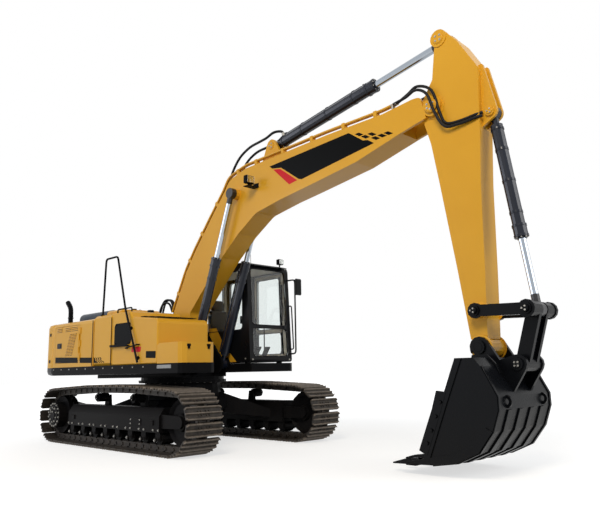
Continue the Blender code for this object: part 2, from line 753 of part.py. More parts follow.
def engine_housing():
    half = UPPER_WIDTH / 2
    low = DECK_HEIGHT + SEAT
    outer = rounded(((-half, low, 0), (half, low, 0), (half, HOUSING_TOP), (-half, HOUSING_TOP)), 0.07)
    wall = HOUSING_WALL
    shell = prism(outer, COUNTERWEIGHT_FRONT, HOUSING_FRONT, along="x")
    cuts = [box((COUNTERWEIGHT_FRONT + wall, -half + wall, low - 0.1),
                (HOUSING_FRONT - wall, half - wall, HOUSING_TOP - wall))]
    for side in (-1, 1):
        back, front = door_opening(side)
        low_y, high_y = span(side, half - wall - 0.1, half + 0.1)
        cuts.append(box((back, low_y, DOOR_LOW), (front, high_y, DOOR_HIGH)))
    hood_back = COUNTERWEIGHT_FRONT + 0.06
    rim = 0.06
    cuts.append(box((hood_back + rim, -HOOD_WIDTH / 2 + rim, HOUSING_TOP - 0.2),
                    (hood_back + HOOD_LENGTH - rim, HOOD_WIDTH / 2 - rim, HOUSING_TOP + 0.2)))
    knuckles = []
    for side in (-1, 1):
        x, y, z = side_door_hinge(side)
        knuckles += hinge_knuckles((x, y, 0), (0, 0, 1), DOOR_LOW + 0.05, DOOR_HIGH - 0.05, 5, (1, 0, 0), (0, -side, 0), False)
    x, y, z = hood_hinge()
    knuckles += hinge_knuckles((x, 0, z), (0, 1, 0), -0.5, 0.5, 5, (1, 0, 0), (0, 0, -1), False)
    piece("engine_housing", "upper", "yellow", [shell, *knuckles], cuts)


def side_door(side):
    name = "right_side_door" if side < 0 else "left_side_door"
    half = UPPER_WIDTH / 2
    back, front = door_opening(side)
    low_y, high_y = span(side, half - DOOR_THICKNESS, half)
    body(name, "upper", (side_door_hinge(side)[0], side_door_hinge(side)[1], (DOOR_LOW + DOOR_HIGH) / 2))
    panel = box((back + RUNNING, low_y, DOOR_LOW + RUNNING), (front - RUNNING, high_y, DOOR_HIGH - RUNNING))
    x, y, z = side_door_hinge(side)
    knuckles = hinge_knuckles((x, y, 0), (0, 0, 1), DOOR_LOW + 0.05, DOOR_HIGH - 0.05, 5, (-1, 0, 0), (0, -side, 0), True)
    piece(name, name, "yellow", [panel, *knuckles])


def engine_hood():
    back = COUNTERWEIGHT_FRONT + 0.06
    front = back + HOOD_LENGTH
    low, top = HOUSING_TOP + 0.012, HOUSING_TOP + HOOD_RISE
    half = HOOD_WIDTH / 2
    x, y, z = hood_hinge()
    body("engine_hood", "upper", (x, 0, z))
    section = rounded(((-half, low, 0), (half, low, 0), (half - 0.03, top), (-half + 0.03, top)), 0.08)
    solid = prism(section, back, front, along="x")
    cut = box((back + HOOD_WALL, -half + HOOD_WALL + 0.03, low - 0.1), (front - HOOD_WALL, half - HOOD_WALL - 0.03, top - HOOD_WALL))
    knuckles = hinge_knuckles((x, 0, z), (0, 1, 0), -0.5, 0.5, 5, (-1, 0, 0), (0, 0, 1), True)
    # Two rubber buffers rest on the housing at the rear
    buffers = [rod((back + 0.02, y, HOUSING_TOP + SEAT), (back + 0.02, y, low + 0.02), 0.015, 12)
               for y in (-half + 0.2, half - 0.2)]
    piece("engine_hood", "engine_hood", "grey", [solid, *knuckles, *buffers], [cut])


def tanks():
    half = UPPER_WIDTH / 2
    low = DECK_HEIGHT + SEAT
    back, front = HOUSING_FRONT + SEAT, HYDRAULIC_TANK_FRONT
    tank = chamfer(box((back, -half, low), (front, TANK_INNER, TANK_TOP)), 0.04)
    top = chamfer(box((back + 0.08, -half + 0.18, TANK_TOP - 0.02), (front - 0.02, TANK_INNER, TANK_TOP + 0.09)), 0.03)
    piece("hydraulic_tank", "upper", "yellow", [tank, top])
    outline = rounded(((front + SEAT, low, 0.02), (FUEL_TANK_FRONT, low, 0.02), (FUEL_TANK_FRONT, FUEL_TANK_NOSE, 0.08),
                       (0.62, 1.98, 0.05), (0.54, TANK_TOP, 0.05), (front + SEAT, TANK_TOP, 0.04)), 0.05)
    piece("fuel_tank", "upper", "yellow", [chamfer(prism(outline, -half, BAY_RIGHT - 0.05), 0.03)])


def tool_box():
    half = UPPER_WIDTH / 2
    low, top = DECK_HEIGHT + SEAT, DECK_HEIGHT + TOOL_BOX_HEIGHT
    back, front = FUEL_TANK_FRONT + SEAT, TOOL_BOX_FRONT - 0.01
    inner = TOOL_BOX_WIDTH - half - 0.01
    wall = TOOL_BOX_WALL
    outline = rounded(((back, -half, 0), (front, -half, 0.09), (front, inner, 0.09), (back, inner, 0)), 0.0)
    tub = prism(outline, low, top, along="z")
    cut = box((back + 0.05, -half + wall + 0.02, low + wall), (front - wall - 0.03, inner - wall - 0.02, top + 0.1))
    x, y, z = back + 0.022, (inner - half) / 2, top + HINGE_OFFSET
    fixed = hinge_knuckles((x, y, z), (0, 1, 0), -0.2, 0.2, 5, (-1, 0, 0), (0, 0, -1), False, reach=0.02)
    piece("tool_box", "upper", "yellow", [tub, *fixed], [cut])
    body("tool_box_lid", "upper", (x, y, z))
    edge = x + HINGE_RADIUS + 0.003
    outline = rounded(((edge, -half, 0), (front, -half, 0.09), (front, inner, 0.09), (edge, inner, 0)), 0.0)
    own = hinge_knuckles((x, y, z), (0, 1, 0), -0.2, 0.2, 5, (1, 0, 0), (0, 0, 1), True)
    piece("tool_box_lid", "tool_box_lid", "yellow", [prism(outline, top + SEAT, top + 0.02, along="z"), *own])


def exhaust():
    pipe = tube(((-2.02, -1.10, HOUSING_TOP + SEAT), (-2.02, -1.10, HOUSING_TOP + 0.30), (-2.16, -1.10, HOUSING_TOP + 0.42)),
                0.045, corner=0.12)
    piece("exhaust_pipe", "upper", "grey", [pipe])


def handrail():
    side = -UPPER_WIDTH / 2
    out = side - 0.035
    low = DECK_HEIGHT + 0.03
    rail = tube(((-0.43, side + 0.06, TANK_TOP + 0.005), (-0.37, side + 0.06, 3.02), (0.04, side + 0.04, 3.01),
                 (0.455, out, 2.12), (0.835, out, low)), 0.017, corner=0.06)
    foot = rod((-0.43, side + 0.06, TANK_TOP + SEAT), (-0.43, side + 0.06, TANK_TOP + 0.015), 0.035, 12)
    clips = [rod((x, out, z), (x, side - SEAT, z), 0.014, 10) for x, z in ((0.585, 1.815), (0.80, 1.36))]
    piece("handrail_right", "upper", "black", [rail, foot, *clips])


# Cab

def lean(z):
    """How far back the cab's front lies at a height."""
    return CAB_FRONT + (CAB_TOP_FRONT - CAB_FRONT) * (z - CAB_FLOOR) / (CAB_ROOF - CAB_FLOOR)


def cab_side(inset, low, high):
    """The cab's side view, drawn in by an inset."""
    return rounded(((CAB_REAR + inset, low, 0.04), (lean(low) - inset, low, 0.04),
                    (lean(high) - inset, high, CAB_CORNER), (CAB_REAR + inset, high, CAB_CORNER)), 0.05)


def window(u0, v0, u1, v1, grow=0.0):
    radius = WINDOW_CORNER + grow
    return rounded(((u0 - grow, v0 - grow), (u1 + grow, v0 - grow), (u1 + grow, v1 + grow), (u0 - grow, v1 + grow)), radius)


def front_windows():
    """Windscreen and lower window as (low, high) heights."""
    return ((SILL + 0.025, CAB_ROOF - 0.10), (CAB_FLOOR + 0.09, SILL - 0.025))


def front_pane(low, high, grow, near, far):
    """A slab that follows the leaning front, between two depths behind it."""
    outline = window(CAB_RIGHT + CAB_PILLAR, low, CAB_LEFT - CAB_PILLAR, high, grow)
    shape = bmesh.new()
    loops = [[shape.verts.new((lean(v) - depth, u, v)) for u, v in outline] for depth in (near, far)]
    for i in range(len(outline)):
        j = (i + 1) % len(outline)
        shape.faces.new((loops[0][i], loops[0][j], loops[1][j], loops[1][i]))
    shape.faces.new(loops[0])
    shape.faces.new(loops[1])
    return from_bmesh(shape)


DOOR_SILL = CAB_FLOOR + 0.06
DOOR_LINTEL = CAB_ROOF - 0.10


def cab_door_hinge():
    return (CAB_DOOR_REAR + RUNNING / 2, CAB_LEFT + HINGE_OFFSET, (DOOR_SILL + DOOR_LINTEL) / 2)


def side_window(side):
    """Rear, front, low and high of the fixed side windows."""
    if side < 0:
        return CAB_REAR + 0.14, lean(CAB_ROOF) - 0.11, SILL - 0.05, CAB_ROOF - 0.13
    return CAB_REAR + 0.12, CAB_DOOR_REAR - 0.09, SILL, CAB_ROOF - 0.13


def cab_shell():
    wall = CAB_WALL
    outer = prism(cab_side(0.0, CAB_FLOOR, CAB_ROOF), CAB_RIGHT, CAB_LEFT)
    inner = prism(cab_side(wall, CAB_FLOOR + wall, CAB_ROOF - wall), CAB_RIGHT + wall, CAB_LEFT - wall)
    cuts = [inner]
    for low, high in front_windows():
        cuts.append(front_pane(low, high, 0.0, -0.1, wall + 0.1))
    back, front, low, high = side_window(-1)
    cuts.append(prism(window(back, low, front, high), CAB_RIGHT - 0.1, CAB_RIGHT + wall + 0.05))
    back, front, low, high = side_window(1)
    cuts.append(prism(window(back, low, front, high), CAB_LEFT - wall - 0.05, CAB_LEFT + 0.1))
    cuts.append(prism(window(CAB_RIGHT + 0.12, SILL, CAB_LEFT - 0.12, CAB_ROOF - 0.13), CAB_REAR - 0.1, CAB_REAR + wall + 0.05,
                      along="x"))
    cuts.append(prism(rounded(((CAB_DOOR_REAR, DOOR_SILL), (CAB_DOOR_FRONT, DOOR_SILL), (CAB_DOOR_FRONT - 0.06, DOOR_LINTEL),
                               (CAB_DOOR_REAR, DOOR_LINTEL)), 0.06), CAB_LEFT - wall - 0.1, CAB_LEFT + 0.1))
    feet = [rod((x, y, DECK_HEIGHT + SEAT), (x, y, CAB_FLOOR + 0.02), 0.05, 10)
            for x in (CAB_REAR + 0.15, CAB_FRONT - 0.2) for y in (CAB_RIGHT + 0.12, CAB_LEFT - 0.12)]
    x, y, z = cab_door_hinge()
    half = (DOOR_LINTEL - DOOR_SILL) / 2 - 0.12
    knuckles = hinge_knuckles((x, y, z), (0, 0, 1), -half, half, 5, (-1, 0, 0), (0, -1, 0), False)
    piece("cab_shell", "upper", "black", [outer, *feet, *knuckles], cuts)


def cab_door():
    thick = 0.04
    x, y, z = cab_door_hinge()
    body("cab_door", "upper", (x, y, z))
    gap = RUNNING

    def shape(inset):
        return rounded(((CAB_DOOR_REAR + gap + inset, DOOR_SILL + gap + inset), (CAB_DOOR_FRONT - gap - inset, DOOR_SILL + gap + inset),
                        (CAB_DOOR_FRONT - 0.06 - gap - inset, DOOR_LINTEL - gap - inset),
                        (CAB_DOOR_REAR + gap + inset, DOOR_LINTEL - gap - inset)), 0.055)

    panel = prism(shape(0.0), CAB_LEFT - thick, CAB_LEFT)
    opening = rounded(((CAB_DOOR_REAR + 0.07, SILL), (CAB_DOOR_FRONT - 0.10, SILL), (CAB_DOOR_FRONT - 0.13, DOOR_LINTEL - 0.07),
                       (CAB_DOOR_REAR + 0.07, DOOR_LINTEL - 0.07)), 0.06)
    lower = rounded(((CAB_DOOR_REAR + 0.07, DOOR_SILL + 0.08), (CAB_DOOR_FRONT - 0.08, DOOR_SILL + 0.08),
                     (CAB_DOOR_FRONT - 0.09, SILL - 0.07), (CAB_DOOR_REAR + 0.07, SILL - 0.07)), 0.06)
    cuts = [prism(opening, CAB_LEFT - 0.2, CAB_LEFT + 0.1), prism(lower, CAB_LEFT - 0.2, CAB_LEFT + 0.1)]
    half = (DOOR_LINTEL - DOOR_SILL) / 2 - 0.12
    knuckles = hinge_knuckles((x, y, z), (0, 0, 1), -half, half, 5, (1, 0, 0), (0, -1, 0), True)
    piece("cab_door", "cab_door", "black", [panel, *knuckles], cuts)
    middle = CAB_LEFT - thick / 2
    for name, outline in (("cab_door_glass", opening), ("cab_door_lower_glass", lower)):
        centre = Vector((sum(p[0] for p in outline) / len(outline), sum(p[1] for p in outline) / len(outline)))
        drawn = []
        for point in outline:
            out = Vector(point) - centre
            drawn.append(tuple(centre + out * (1 - 0.0006 / out.length)))
        piece(name, "cab_door", "glass", [prism(drawn, middle - GLASS / 2, middle + GLASS / 2)])


def cab_glass():
    for name, (low, high) in zip(("windscreen", "lower_window"), front_windows()):
        piece(name, "upper", "glass", [front_pane(low, high, -SEAT, 0.016, 0.016 + GLASS)])
    back, front, low, high = side_window(-1)
    middle = CAB_RIGHT + CAB_WALL / 2
    piece("side_window_right", "upper", "glass", [prism(window(back, low, front, high, -SEAT), middle - GLASS / 2, middle + GLASS / 2)])
    back, front, low, high = side_window(1)
    middle = CAB_LEFT - CAB_WALL / 2
    piece("side_window_left", "upper", "glass", [prism(window(back, low, front, high, -SEAT), middle - GLASS / 2, middle + GLASS / 2)])
    middle = CAB_REAR + CAB_WALL / 2
    piece("rear_window", "upper", "glass",
          [prism(window(CAB_RIGHT + 0.12, SILL, CAB_LEFT - 0.12, CAB_ROOF - 0.13, -SEAT), middle - GLASS / 2, middle + GLASS / 2,
                 along="x")])


def cab_inside():
    floor = CAB_FLOOR + CAB_WALL + SEAT
    middle = (CAB_RIGHT + CAB_LEFT) / 2
    stand = [box((-0.12, middle - 0.20, floor), (0.40, middle + 0.20, floor + 0.22))]
    for side in (-1, 1):
        low, high = sorted((middle + side * 0.18, middle + side * 0.36))
        stand.append(chamfer(box((0.0, low, floor), (0.62, high, floor + 0.46)), 0.03))
        lever = middle + side * 0.27
        stand.append(rod((0.55, lever, floor + 0.44), (0.58, lever, floor + 0.66), 0.018, 10))
    piece("control_consoles", "upper", "fabric", stand)
    base = floor + 0.22 + SEAT
    cushion = chamfer(box((-0.08, middle - 0.17, base), (0.45, middle + 0.17, base + 0.13)), 0.03)
    back = prism(((-0.14, base + 0.06), (0.0, base + 0.06), (-0.10, base + 0.70), (-0.22, base + 0.70)), middle - 0.17, middle + 0.17)
    rest = prism(((-0.22, base + 0.66), (-0.12, base + 0.66), (-0.14, base + 0.92), (-0.23, base + 0.92)), middle - 0.12, middle + 0.12)
    piece("seat", "upper", "fabric", [cushion, chamfer(back, 0.02), chamfer(rest, 0.02)])
    pedal = [box((0.95, middle - 0.20, floor), (1.10, middle + 0.20, floor + 0.04))]
    for y in (middle - 0.10, middle + 0.10):
        pedal.append(prism(((0.98, floor + 0.03), (1.0, floor + 0.03), (1.12, floor + 0.20), (1.10, floor + 0.21)), y - 0.05, y + 0.05))
        pedal.append(rod((1.02, y, floor + 0.03), (1.02, y, floor + 0.55), 0.01, 8))
    piece("travel_pedals", "upper", "black", pedal)


def cab_outside():
    x, y, radius = 1.45, CAB_LEFT - 0.03, 0.014
    slope = (CAB_FRONT - CAB_TOP_FRONT) / (CAB_ROOF - CAB_FLOOR)
    low, high = ((lean(z) + SEAT + radius * slope, y, z) for z in (1.42, 2.70))
    stay = tube((low, (x, y, 1.42), (x, y, 2.70), high), radius, corner=0.06)
    face = chamfer(box((x - 0.02, y, 2.43), (x + 0.03, y + 0.15, 2.72)), 0.02)
    piece("mirror", "upper", "black", [stay, face])
    x, y, z = 1.10, CAB_LEFT - 0.06, CAB_ROOF
    lamp = chamfer(box((x - 0.03, y - 0.06, z + 0.05), (x + 0.05, y + 0.06, z + 0.15)), 0.012)
    piece("cab_lamp", "upper", "black", [rod((x, y, z + SEAT), (x, y, z + 0.07), 0.012, 10), lamp])


# Boom, arm and bucket

BOOM_OUTLINE = (
    # x, z and corner radius: along the belly to the head, back along the top
    (0.457, 2.12, 0.10), (0.794, 2.448, 0), (1.308, 2.938, 0), (1.72, 3.26, 0), (2.15, 3.52, 0.3), (2.722, 3.622, 0),
    (3.2, 3.686, 0), (4.149, 3.822, 0), (4.898, 4.015, 0), (5.27, 4.10, 0),
)
BOOM_TOP = (
    (5.20, 4.39, 0.05), (5.081, 4.396, 0), (4.621, 4.347, 0), (3.688, 4.344, 0), (1.91, 4.285, 0), (1.52, 4.19, 0.25),
    (1.385, 4.023, 0), (1.006, 3.616, 0), (0.585, 3.146, 0), (0.339, 2.828, 0), (-0.085, 2.04, 0.10),
)
HEAD_RADIUS = 0.125
FOOT_RADIUS = 0.15


def boom():
    half = BOOM_WIDTH / 2
    beam = rounded([*BOOM_OUTLINE, *BOOM_TOP, (BOOM_FOOT[0] - FOOT_RADIUS, BOOM_FOOT[1] + 0.02, 0),
                    (BOOM_FOOT[0] + FOOT_RADIUS, BOOM_FOOT[1] + 0.02, 0)], 0.0)
    parts = [prism(beam, -half, half)]
    wide = BOOM_FOOT_WIDTH / 2
    parts.append(pin(BOOM_FOOT, FOOT_RADIUS, -wide, wide, 18))
    parts.append(pin(BOOM_HEAD, HEAD_RADIUS, -half, half, 18))
    reach = BOOM_CYLINDER_OFFSET - CYLINDERS["boom"]["eye_width"] / 2 - SEAT
    parts.append(pin(BOOM_CYLINDER_EYE, 0.085, -reach, reach))
    for side in (-1, 1):
        low, high = span(side, half - 0.01, half + 0.02)
        parts.append(pin(BOOM_HEAD, 0.07, low, high))
    # Ears of the arm cylinder, on the top plate
    eye = CYLINDERS["arm"]["eye_width"] / 2 + SEAT
    foot = ARM_CYLINDER_FOOT
    for side in (-1, 1):
        low, high = span(side, eye, eye + EAR_THICKNESS)
        parts.append(prism(belt(((foot[0] - 0.22, 4.28, 0.01), (foot[0] + 0.25, 4.28, 0.01), (*foot, 0.10))), low, high))
    cheek = half - BOOM_CHEEK
    away = 0.46
    gap = (BOOM_HEAD[0] - away, BOOM_HEAD[1])
    slot = prism(((gap[0], 3.7), (BOOM_HEAD[0] + 0.5, 3.7), (BOOM_HEAD[0] + 0.5, 4.7), (gap[0], 4.7)), -cheek, cheek)
    piece("boom", "boom", "yellow", parts, [slot])


ARM_OUTLINE = (
    # x, z and corner radius: down the back, then up the belly
    (5.417, 4.992, 0), (5.361, 4.574, 0), (5.18, 4.30, 0.10), (5.22, 4.03, 0.10), (5.294, 3.77, 0), (5.376, 3.286, 0),
    (5.548, 2.198, 0), (5.66, 1.42, 0), (5.86, 1.42, 0),
    (5.885, 2.155, 0), (5.908, 3.163, 0), (5.94, 3.71, 0), (5.965, 4.53, 0.04), (5.72, 4.95, 0.05), (5.60, 5.09, 0.05),
    (5.47, 5.16, 0.05),
)
ARM_END_RADIUS = 0.11
SIDE_LINK_REACH = BUCKET_EAR_GAP / 2 + EAR_THICKNESS + EAR_COLLAR + RUNNING


def arm():
    half = ARM_WIDTH / 2
    knuckle = BUCKET_EAR_GAP / 2 - SEAT
    parts = [prism(rounded(ARM_OUTLINE, 0.0), -half, half)]
    parts.append(pin(BOOM_HEAD, 0.16, -(BOOM_WIDTH / 2 - BOOM_CHEEK - SEAT), BOOM_WIDTH / 2 - BOOM_CHEEK - SEAT))
    parts.append(pin(ARM_END, ARM_END_RADIUS, -knuckle, knuckle, 16))
    parts.append(pin(SIDE_LINK_PIN, 0.075, -SIDE_LINK_REACH, SIDE_LINK_REACH))
    parts.append(pin(ARM_CYLINDER_EYE, 0.11, -half - 0.012, half + 0.012, 16))
    eye = CYLINDERS["bucket"]["eye_width"] / 2 + SEAT
    foot = BUCKET_CYLINDER_FOOT
    for side in (-1, 1):
        low, high = span(side, eye, eye + 0.035)
        parts.append(prism(belt(((5.90, 3.80, 0.01), (*foot, 0.085), (5.98, 4.55, 0.02), (5.90, 4.55, 0.01))), low, high))
        low, high = span(side, eye + 0.03, eye + 0.06)
        parts.append(pin(foot, 0.055, low, high))
    eye = CYLINDERS["arm"]["eye_width"] / 2 + RUNNING
    pocket = prism(belt(((5.25, 4.97, 0.05), (5.60, 5.00, 0.05), (5.9, 5.4, 0.05), (5.2, 5.6, 0.05))), -eye, eye)
    piece("arm", "arm", "yellow", parts, [pocket])


def bucket():
    half = BUCKET_WIDTH / 2
    wall = BUCKET_WALL
    body_outline = [(5.722, 1.216), (5.50, 0.70), (5.273, 0.175), (5.05, 0.135), (4.962, 0.103), (5.376, 0.118), (5.68, 0.165),
                    (5.93, 0.28), (6.09, 0.49), (6.165, 0.70), (6.163, 0.83), (6.004, 1.13), (5.93, 1.216)]
    shell = prism(body_outline, -half, half)
    inner = [(5.70, 1.3), (5.40, 0.70), (5.0, 0.172), (5.376, 0.150), (5.67, 0.195), (5.91, 0.305), (6.062, 0.505), (6.134, 0.705),
             (6.132, 0.82), (5.985, 1.10), (5.90, 1.186), (5.76, 1.186)]
    cavity = prism(inner, -half + wall, half - wall)
    parts = [shell]
    ear = BUCKET_EAR_GAP / 2
    for side in (-1, 1):
        low, high = span(side, ear, ear + EAR_THICKNESS)
        parts.append(prism(belt(((5.74, 1.15, 0.02), (6.12, 0.86, 0.02), (*BUCKET_LINK_PIN, 0.10), (6.02, 1.16, 0.03), (*ARM_END, 0.115))),
                           low, high))
        low, high = span(side, ear + 0.01, ear + EAR_THICKNESS + EAR_COLLAR)
        parts.append(pin(ARM_END, 0.075, low, high))
        parts.append(pin(BUCKET_LINK_PIN, 0.065, low, high))
    for k in range(5):
        y = -half + 0.12 + (BUCKET_WIDTH - 0.24) * k / 4
        parts.append(hull([(x, y + w, z) for x, z, w0 in ((5.16, 0.10, 0.06), (5.16, 0.165, 0.06), (4.98, 0.095, 0.045), (4.98, 0.15, 0.045),
                                                       (4.80, 0.085, 0.03), (4.80, 0.10, 0.03)) for w in (-w0, w0)]))
    piece("bucket", "bucket", "black", parts, [cavity])


def side_links():
    low_y = SIDE_LINK_REACH + SEAT
    for side, name in ((-1, "right"), (1, "left")):
        low, high = span(side, low_y, low_y + SIDE_LINK_THICKNESS)
        bar = prism(belt(((*SIDE_LINK_PIN, 0.062), (*LINK_EYE, 0.062))), low, high)
        parts = [bar, pin(SIDE_LINK_PIN, 0.085, low, high), pin(LINK_EYE, 0.095, low, high)]
        low, high = span(side, low_y + 0.01, low_y + SIDE_LINK_THICKNESS + 0.02)
        parts += [pin(SIDE_LINK_PIN, 0.06, low, high), pin(LINK_EYE, 0.06, low, high)]
        piece("side_link_" + name, "side_links", "black", parts)


def bucket_link():
    inner = CYLINDERS["bucket"]["eye_width"] / 2 + 0.012
    width = BUCKET_EAR_GAP / 2 - SEAT
    reach = SIDE_LINK_REACH
    parts = [pin(BUCKET_LINK_PIN, 0.085, -width, width)]
    for side in (-1, 1):
        low, high = span(side, inner, inner + 0.05)
        parts.append(prism(belt(((*BUCKET_LINK_PIN, 0.075), (*LINK_EYE, 0.075))), low, high))
        low, high = span(side, inner, reach)
        parts.append(pin(LINK_EYE, 0.085, low, high))
    web = toward(BUCKET_LINK_PIN, LINK_EYE, 0.26)
    parts.append(prism(belt(((*BUCKET_LINK_PIN, 0.04), (*web, 0.04))), -inner - 0.02, inner + 0.02))
    piece("bucket_link", "bucket_link", "black", parts)


# Cylinders

CYLINDERS = {
    # radii of barrel and rod, start and end of the barrel from its foot pin, width and radius of the eyes
    "boom": {"barrel": 0.0725, "rod": 0.0425, "neck": 0.155, "length": 1.76, "eye_width": 0.09, "eye": 0.085},
    "arm": {"barrel": 0.085, "rod": 0.0475, "neck": 0.19, "length": 2.02, "eye_width": 0.10, "eye": 0.095},
    "bucket": {"barrel": 0.0700, "rod": 0.0400, "neck": 0.16, "length": 1.50, "eye_width": 0.09, "eye": 0.080},
}


def cylinder(kind, suffix, foot, eye, y):
    """A barrel on its foot pin and a rod that slides in it."""
    size = CYLINDERS[kind]
    low, high = y - size["eye_width"] / 2, y + size["eye_width"] / 2
    ends = at_y(foot, y), at_y(eye, y)
    neck, length, gland = size["neck"], size["length"], size["barrel"] + 0.006
    bore = size["rod"] + SEAT
    stem = size["eye_width"] * 0.44
    barrel = lathe(*ends, ((0.02, 0), (0.02, stem), (neck, stem), (neck, size["barrel"]), (length - 0.13, size["barrel"]),
                           (length - 0.13, gland), (length, gland), (length, bore), (neck + 0.1, bore), (neck + 0.1, 0)))
    piece(kind + "_cylinder_barrel" + suffix, kind + "_barrel", "black", [barrel, pin(foot, size["eye"], low, high)])
    reach = hypot(eye[0] - foot[0], eye[1] - foot[1])
    collar = size["eye_width"] / 2
    shaft = lathe(*ends, ((length - 0.35, 0), (length - 0.35, size["rod"]), (reach - 0.16, size["rod"]), (reach - 0.16, collar),
                          (reach - 0.03, collar), (reach - 0.03, 0)))
    piece(kind + "_cylinder_rod" + suffix, kind + "_rod", "chrome", [shaft, pin(eye, size["eye"], low, high)])


# The machine

def add_bodies():
    """The undercarriage, the upper body and the working equipment, each on its pin; doors add their own."""
    body("undercarriage", None, (0.0, 0.0, 0.0))
    body("upper", "undercarriage", (0.0, 0.0, RING_TOP))
    for name, parent, pivot in (
        ("boom", "upper", BOOM_FOOT),
        ("arm", "boom", BOOM_HEAD),
        ("bucket", "arm", ARM_END),
        ("side_links", "arm", SIDE_LINK_PIN),
        ("bucket_link", "bucket", BUCKET_LINK_PIN),
        ("boom_barrel", "upper", BOOM_CYLINDER_FOOT),
        ("boom_rod", "boom_barrel", BOOM_CYLINDER_EYE),
        ("arm_barrel", "boom", ARM_CYLINDER_FOOT),
        ("arm_rod", "arm_barrel", ARM_CYLINDER_EYE),
        ("bucket_barrel", "arm", BUCKET_CYLINDER_FOOT),
        ("bucket_rod", "bucket_barrel", LINK_EYE),
    ):
        body(name, parent, at_y(pivot, 0))


def centre_the_origin():
    """Moves the whole machine so that the origin is the bottom centre of its bounding box."""
    bpy.context.view_layer.update()
    low, high = Vector((1e9, 1e9, 1e9)), Vector((-1e9, -1e9, -1e9))
    for item in bpy.data.objects:
        if item.type != "MESH":
            continue
        for vertex in item.data.vertices:
            point = item.matrix_world @ vertex.co
            low = Vector(map(min, low, point))
            high = Vector(map(max, high, point))
    EMPTIES["undercarriage"].location = (-(low.x + high.x) / 2, -(low.y + high.y) / 2, -low.z)
    bpy.context.view_layer.update()


def main():
    remove_everything()
    add_bodies()
    for build in (track, sprocket, idler, track_frame):
        mirrored(build)
    carbody()
    revolving_frame()
    counterweight()
    machinery()
    engine_housing()
    mirrored(side_door)
    engine_hood()
    tanks()
    tool_box()
    exhaust()
    handrail()
    cab_shell()
    cab_door()
    cab_glass()
    cab_inside()
    cab_outside()
    boom()
    arm()
    bucket()
    side_links()
    bucket_link()
    for suffix, y in (("_right", -BOOM_CYLINDER_OFFSET), ("_left", BOOM_CYLINDER_OFFSET)):
        cylinder("boom", suffix, BOOM_CYLINDER_FOOT, BOOM_CYLINDER_EYE, y)
    cylinder("arm", "", ARM_CYLINDER_FOOT, ARM_CYLINDER_EYE, 0.0)
    cylinder("bucket", "", BUCKET_CYLINDER_FOOT, LINK_EYE, 0.0)
    centre_the_origin()


main()
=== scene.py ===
# %% [markdown]
# # A crawler excavator, dressed for its portrait
# The machine's solids come in as a fixed frame: every plate, pin and door already lies
# where it belongs. This script gives those solids their finishes and adds the fine things
# that a designer leaves out of the construction model, such as bolts, hoses and decals.
# Each step below says what the real thing is before it is made.

import json
from math import atan2, cos, hypot, pi, radians, sin, sqrt

import bmesh
import bpy
from mathutils import Matrix, Vector


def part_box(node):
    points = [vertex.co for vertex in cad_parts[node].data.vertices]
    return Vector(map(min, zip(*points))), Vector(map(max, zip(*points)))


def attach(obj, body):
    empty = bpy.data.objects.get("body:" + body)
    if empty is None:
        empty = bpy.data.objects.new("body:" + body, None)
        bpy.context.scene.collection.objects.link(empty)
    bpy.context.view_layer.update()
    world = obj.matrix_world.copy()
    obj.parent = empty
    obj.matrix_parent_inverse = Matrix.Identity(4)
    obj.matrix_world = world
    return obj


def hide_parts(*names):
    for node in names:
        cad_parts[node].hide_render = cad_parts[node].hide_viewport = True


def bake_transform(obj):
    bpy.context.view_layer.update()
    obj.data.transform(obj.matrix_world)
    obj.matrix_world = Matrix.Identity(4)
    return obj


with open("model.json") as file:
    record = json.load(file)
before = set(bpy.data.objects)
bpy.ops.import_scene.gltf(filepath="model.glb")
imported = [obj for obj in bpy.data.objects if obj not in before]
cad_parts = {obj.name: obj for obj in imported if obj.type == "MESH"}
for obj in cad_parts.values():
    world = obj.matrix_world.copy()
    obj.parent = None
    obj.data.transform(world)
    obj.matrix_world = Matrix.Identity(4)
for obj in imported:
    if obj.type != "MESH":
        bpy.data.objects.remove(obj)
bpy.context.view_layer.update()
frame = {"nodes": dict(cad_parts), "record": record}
nodes = frame["nodes"]

# %% [markdown]
# ## The camera
# The picture was taken from the front right, at about hip height, a little below the deck,
# so the long boom rises high above the lens. The lens and the place were worked out from the
# usual sizes of a machine of this class. A camera looks along its own -Z, so its turn is
# built from the direction that points back from the subject to the lens.

# %% The camera
CAMERA_AT = Vector((7.4525, -6.461, 1.104))
AZIMUTH, ELEVATION, ROLL = 44.827, -9.921, -1.119
LENS = 38.29


def camera_turn(azimuth, elevation, roll):
    """The camera's axes as a rotation, from angles in degrees."""
    a, e, r = radians(azimuth), radians(elevation), radians(roll)
    back = Vector((sin(a) * cos(e), -cos(a) * cos(e), sin(e)))
    side = Vector((0, 0, 1)).cross(back).normalized()
    upward = back.cross(side)
    right = cos(r) * side + sin(r) * upward
    up = -sin(r) * side + cos(r) * upward
    return Matrix((right, up, back)).transposed()


camera = bpy.data.objects.new("camera", bpy.data.cameras.new("camera"))
bpy.context.scene.collection.objects.link(camera)
camera.data.lens = LENS
camera.data.sensor_width = 36
camera.matrix_world = Matrix.Translation(CAMERA_AT) @ camera_turn(AZIMUTH, ELEVATION, ROLL).to_4x4()
bpy.context.scene.camera = camera
print("camera at", tuple(round(v, 2) for v in CAMERA_AT), "lens", LENS, "mm")

# %% [markdown]
# ## Node helper and colours
# Every finish below is a small graph of shader nodes. One function adds a node, sets its
# values and links its sockets. Colours are written as hex values, as a paint chart gives
# them, and turned to the linear values that the shader counts in.

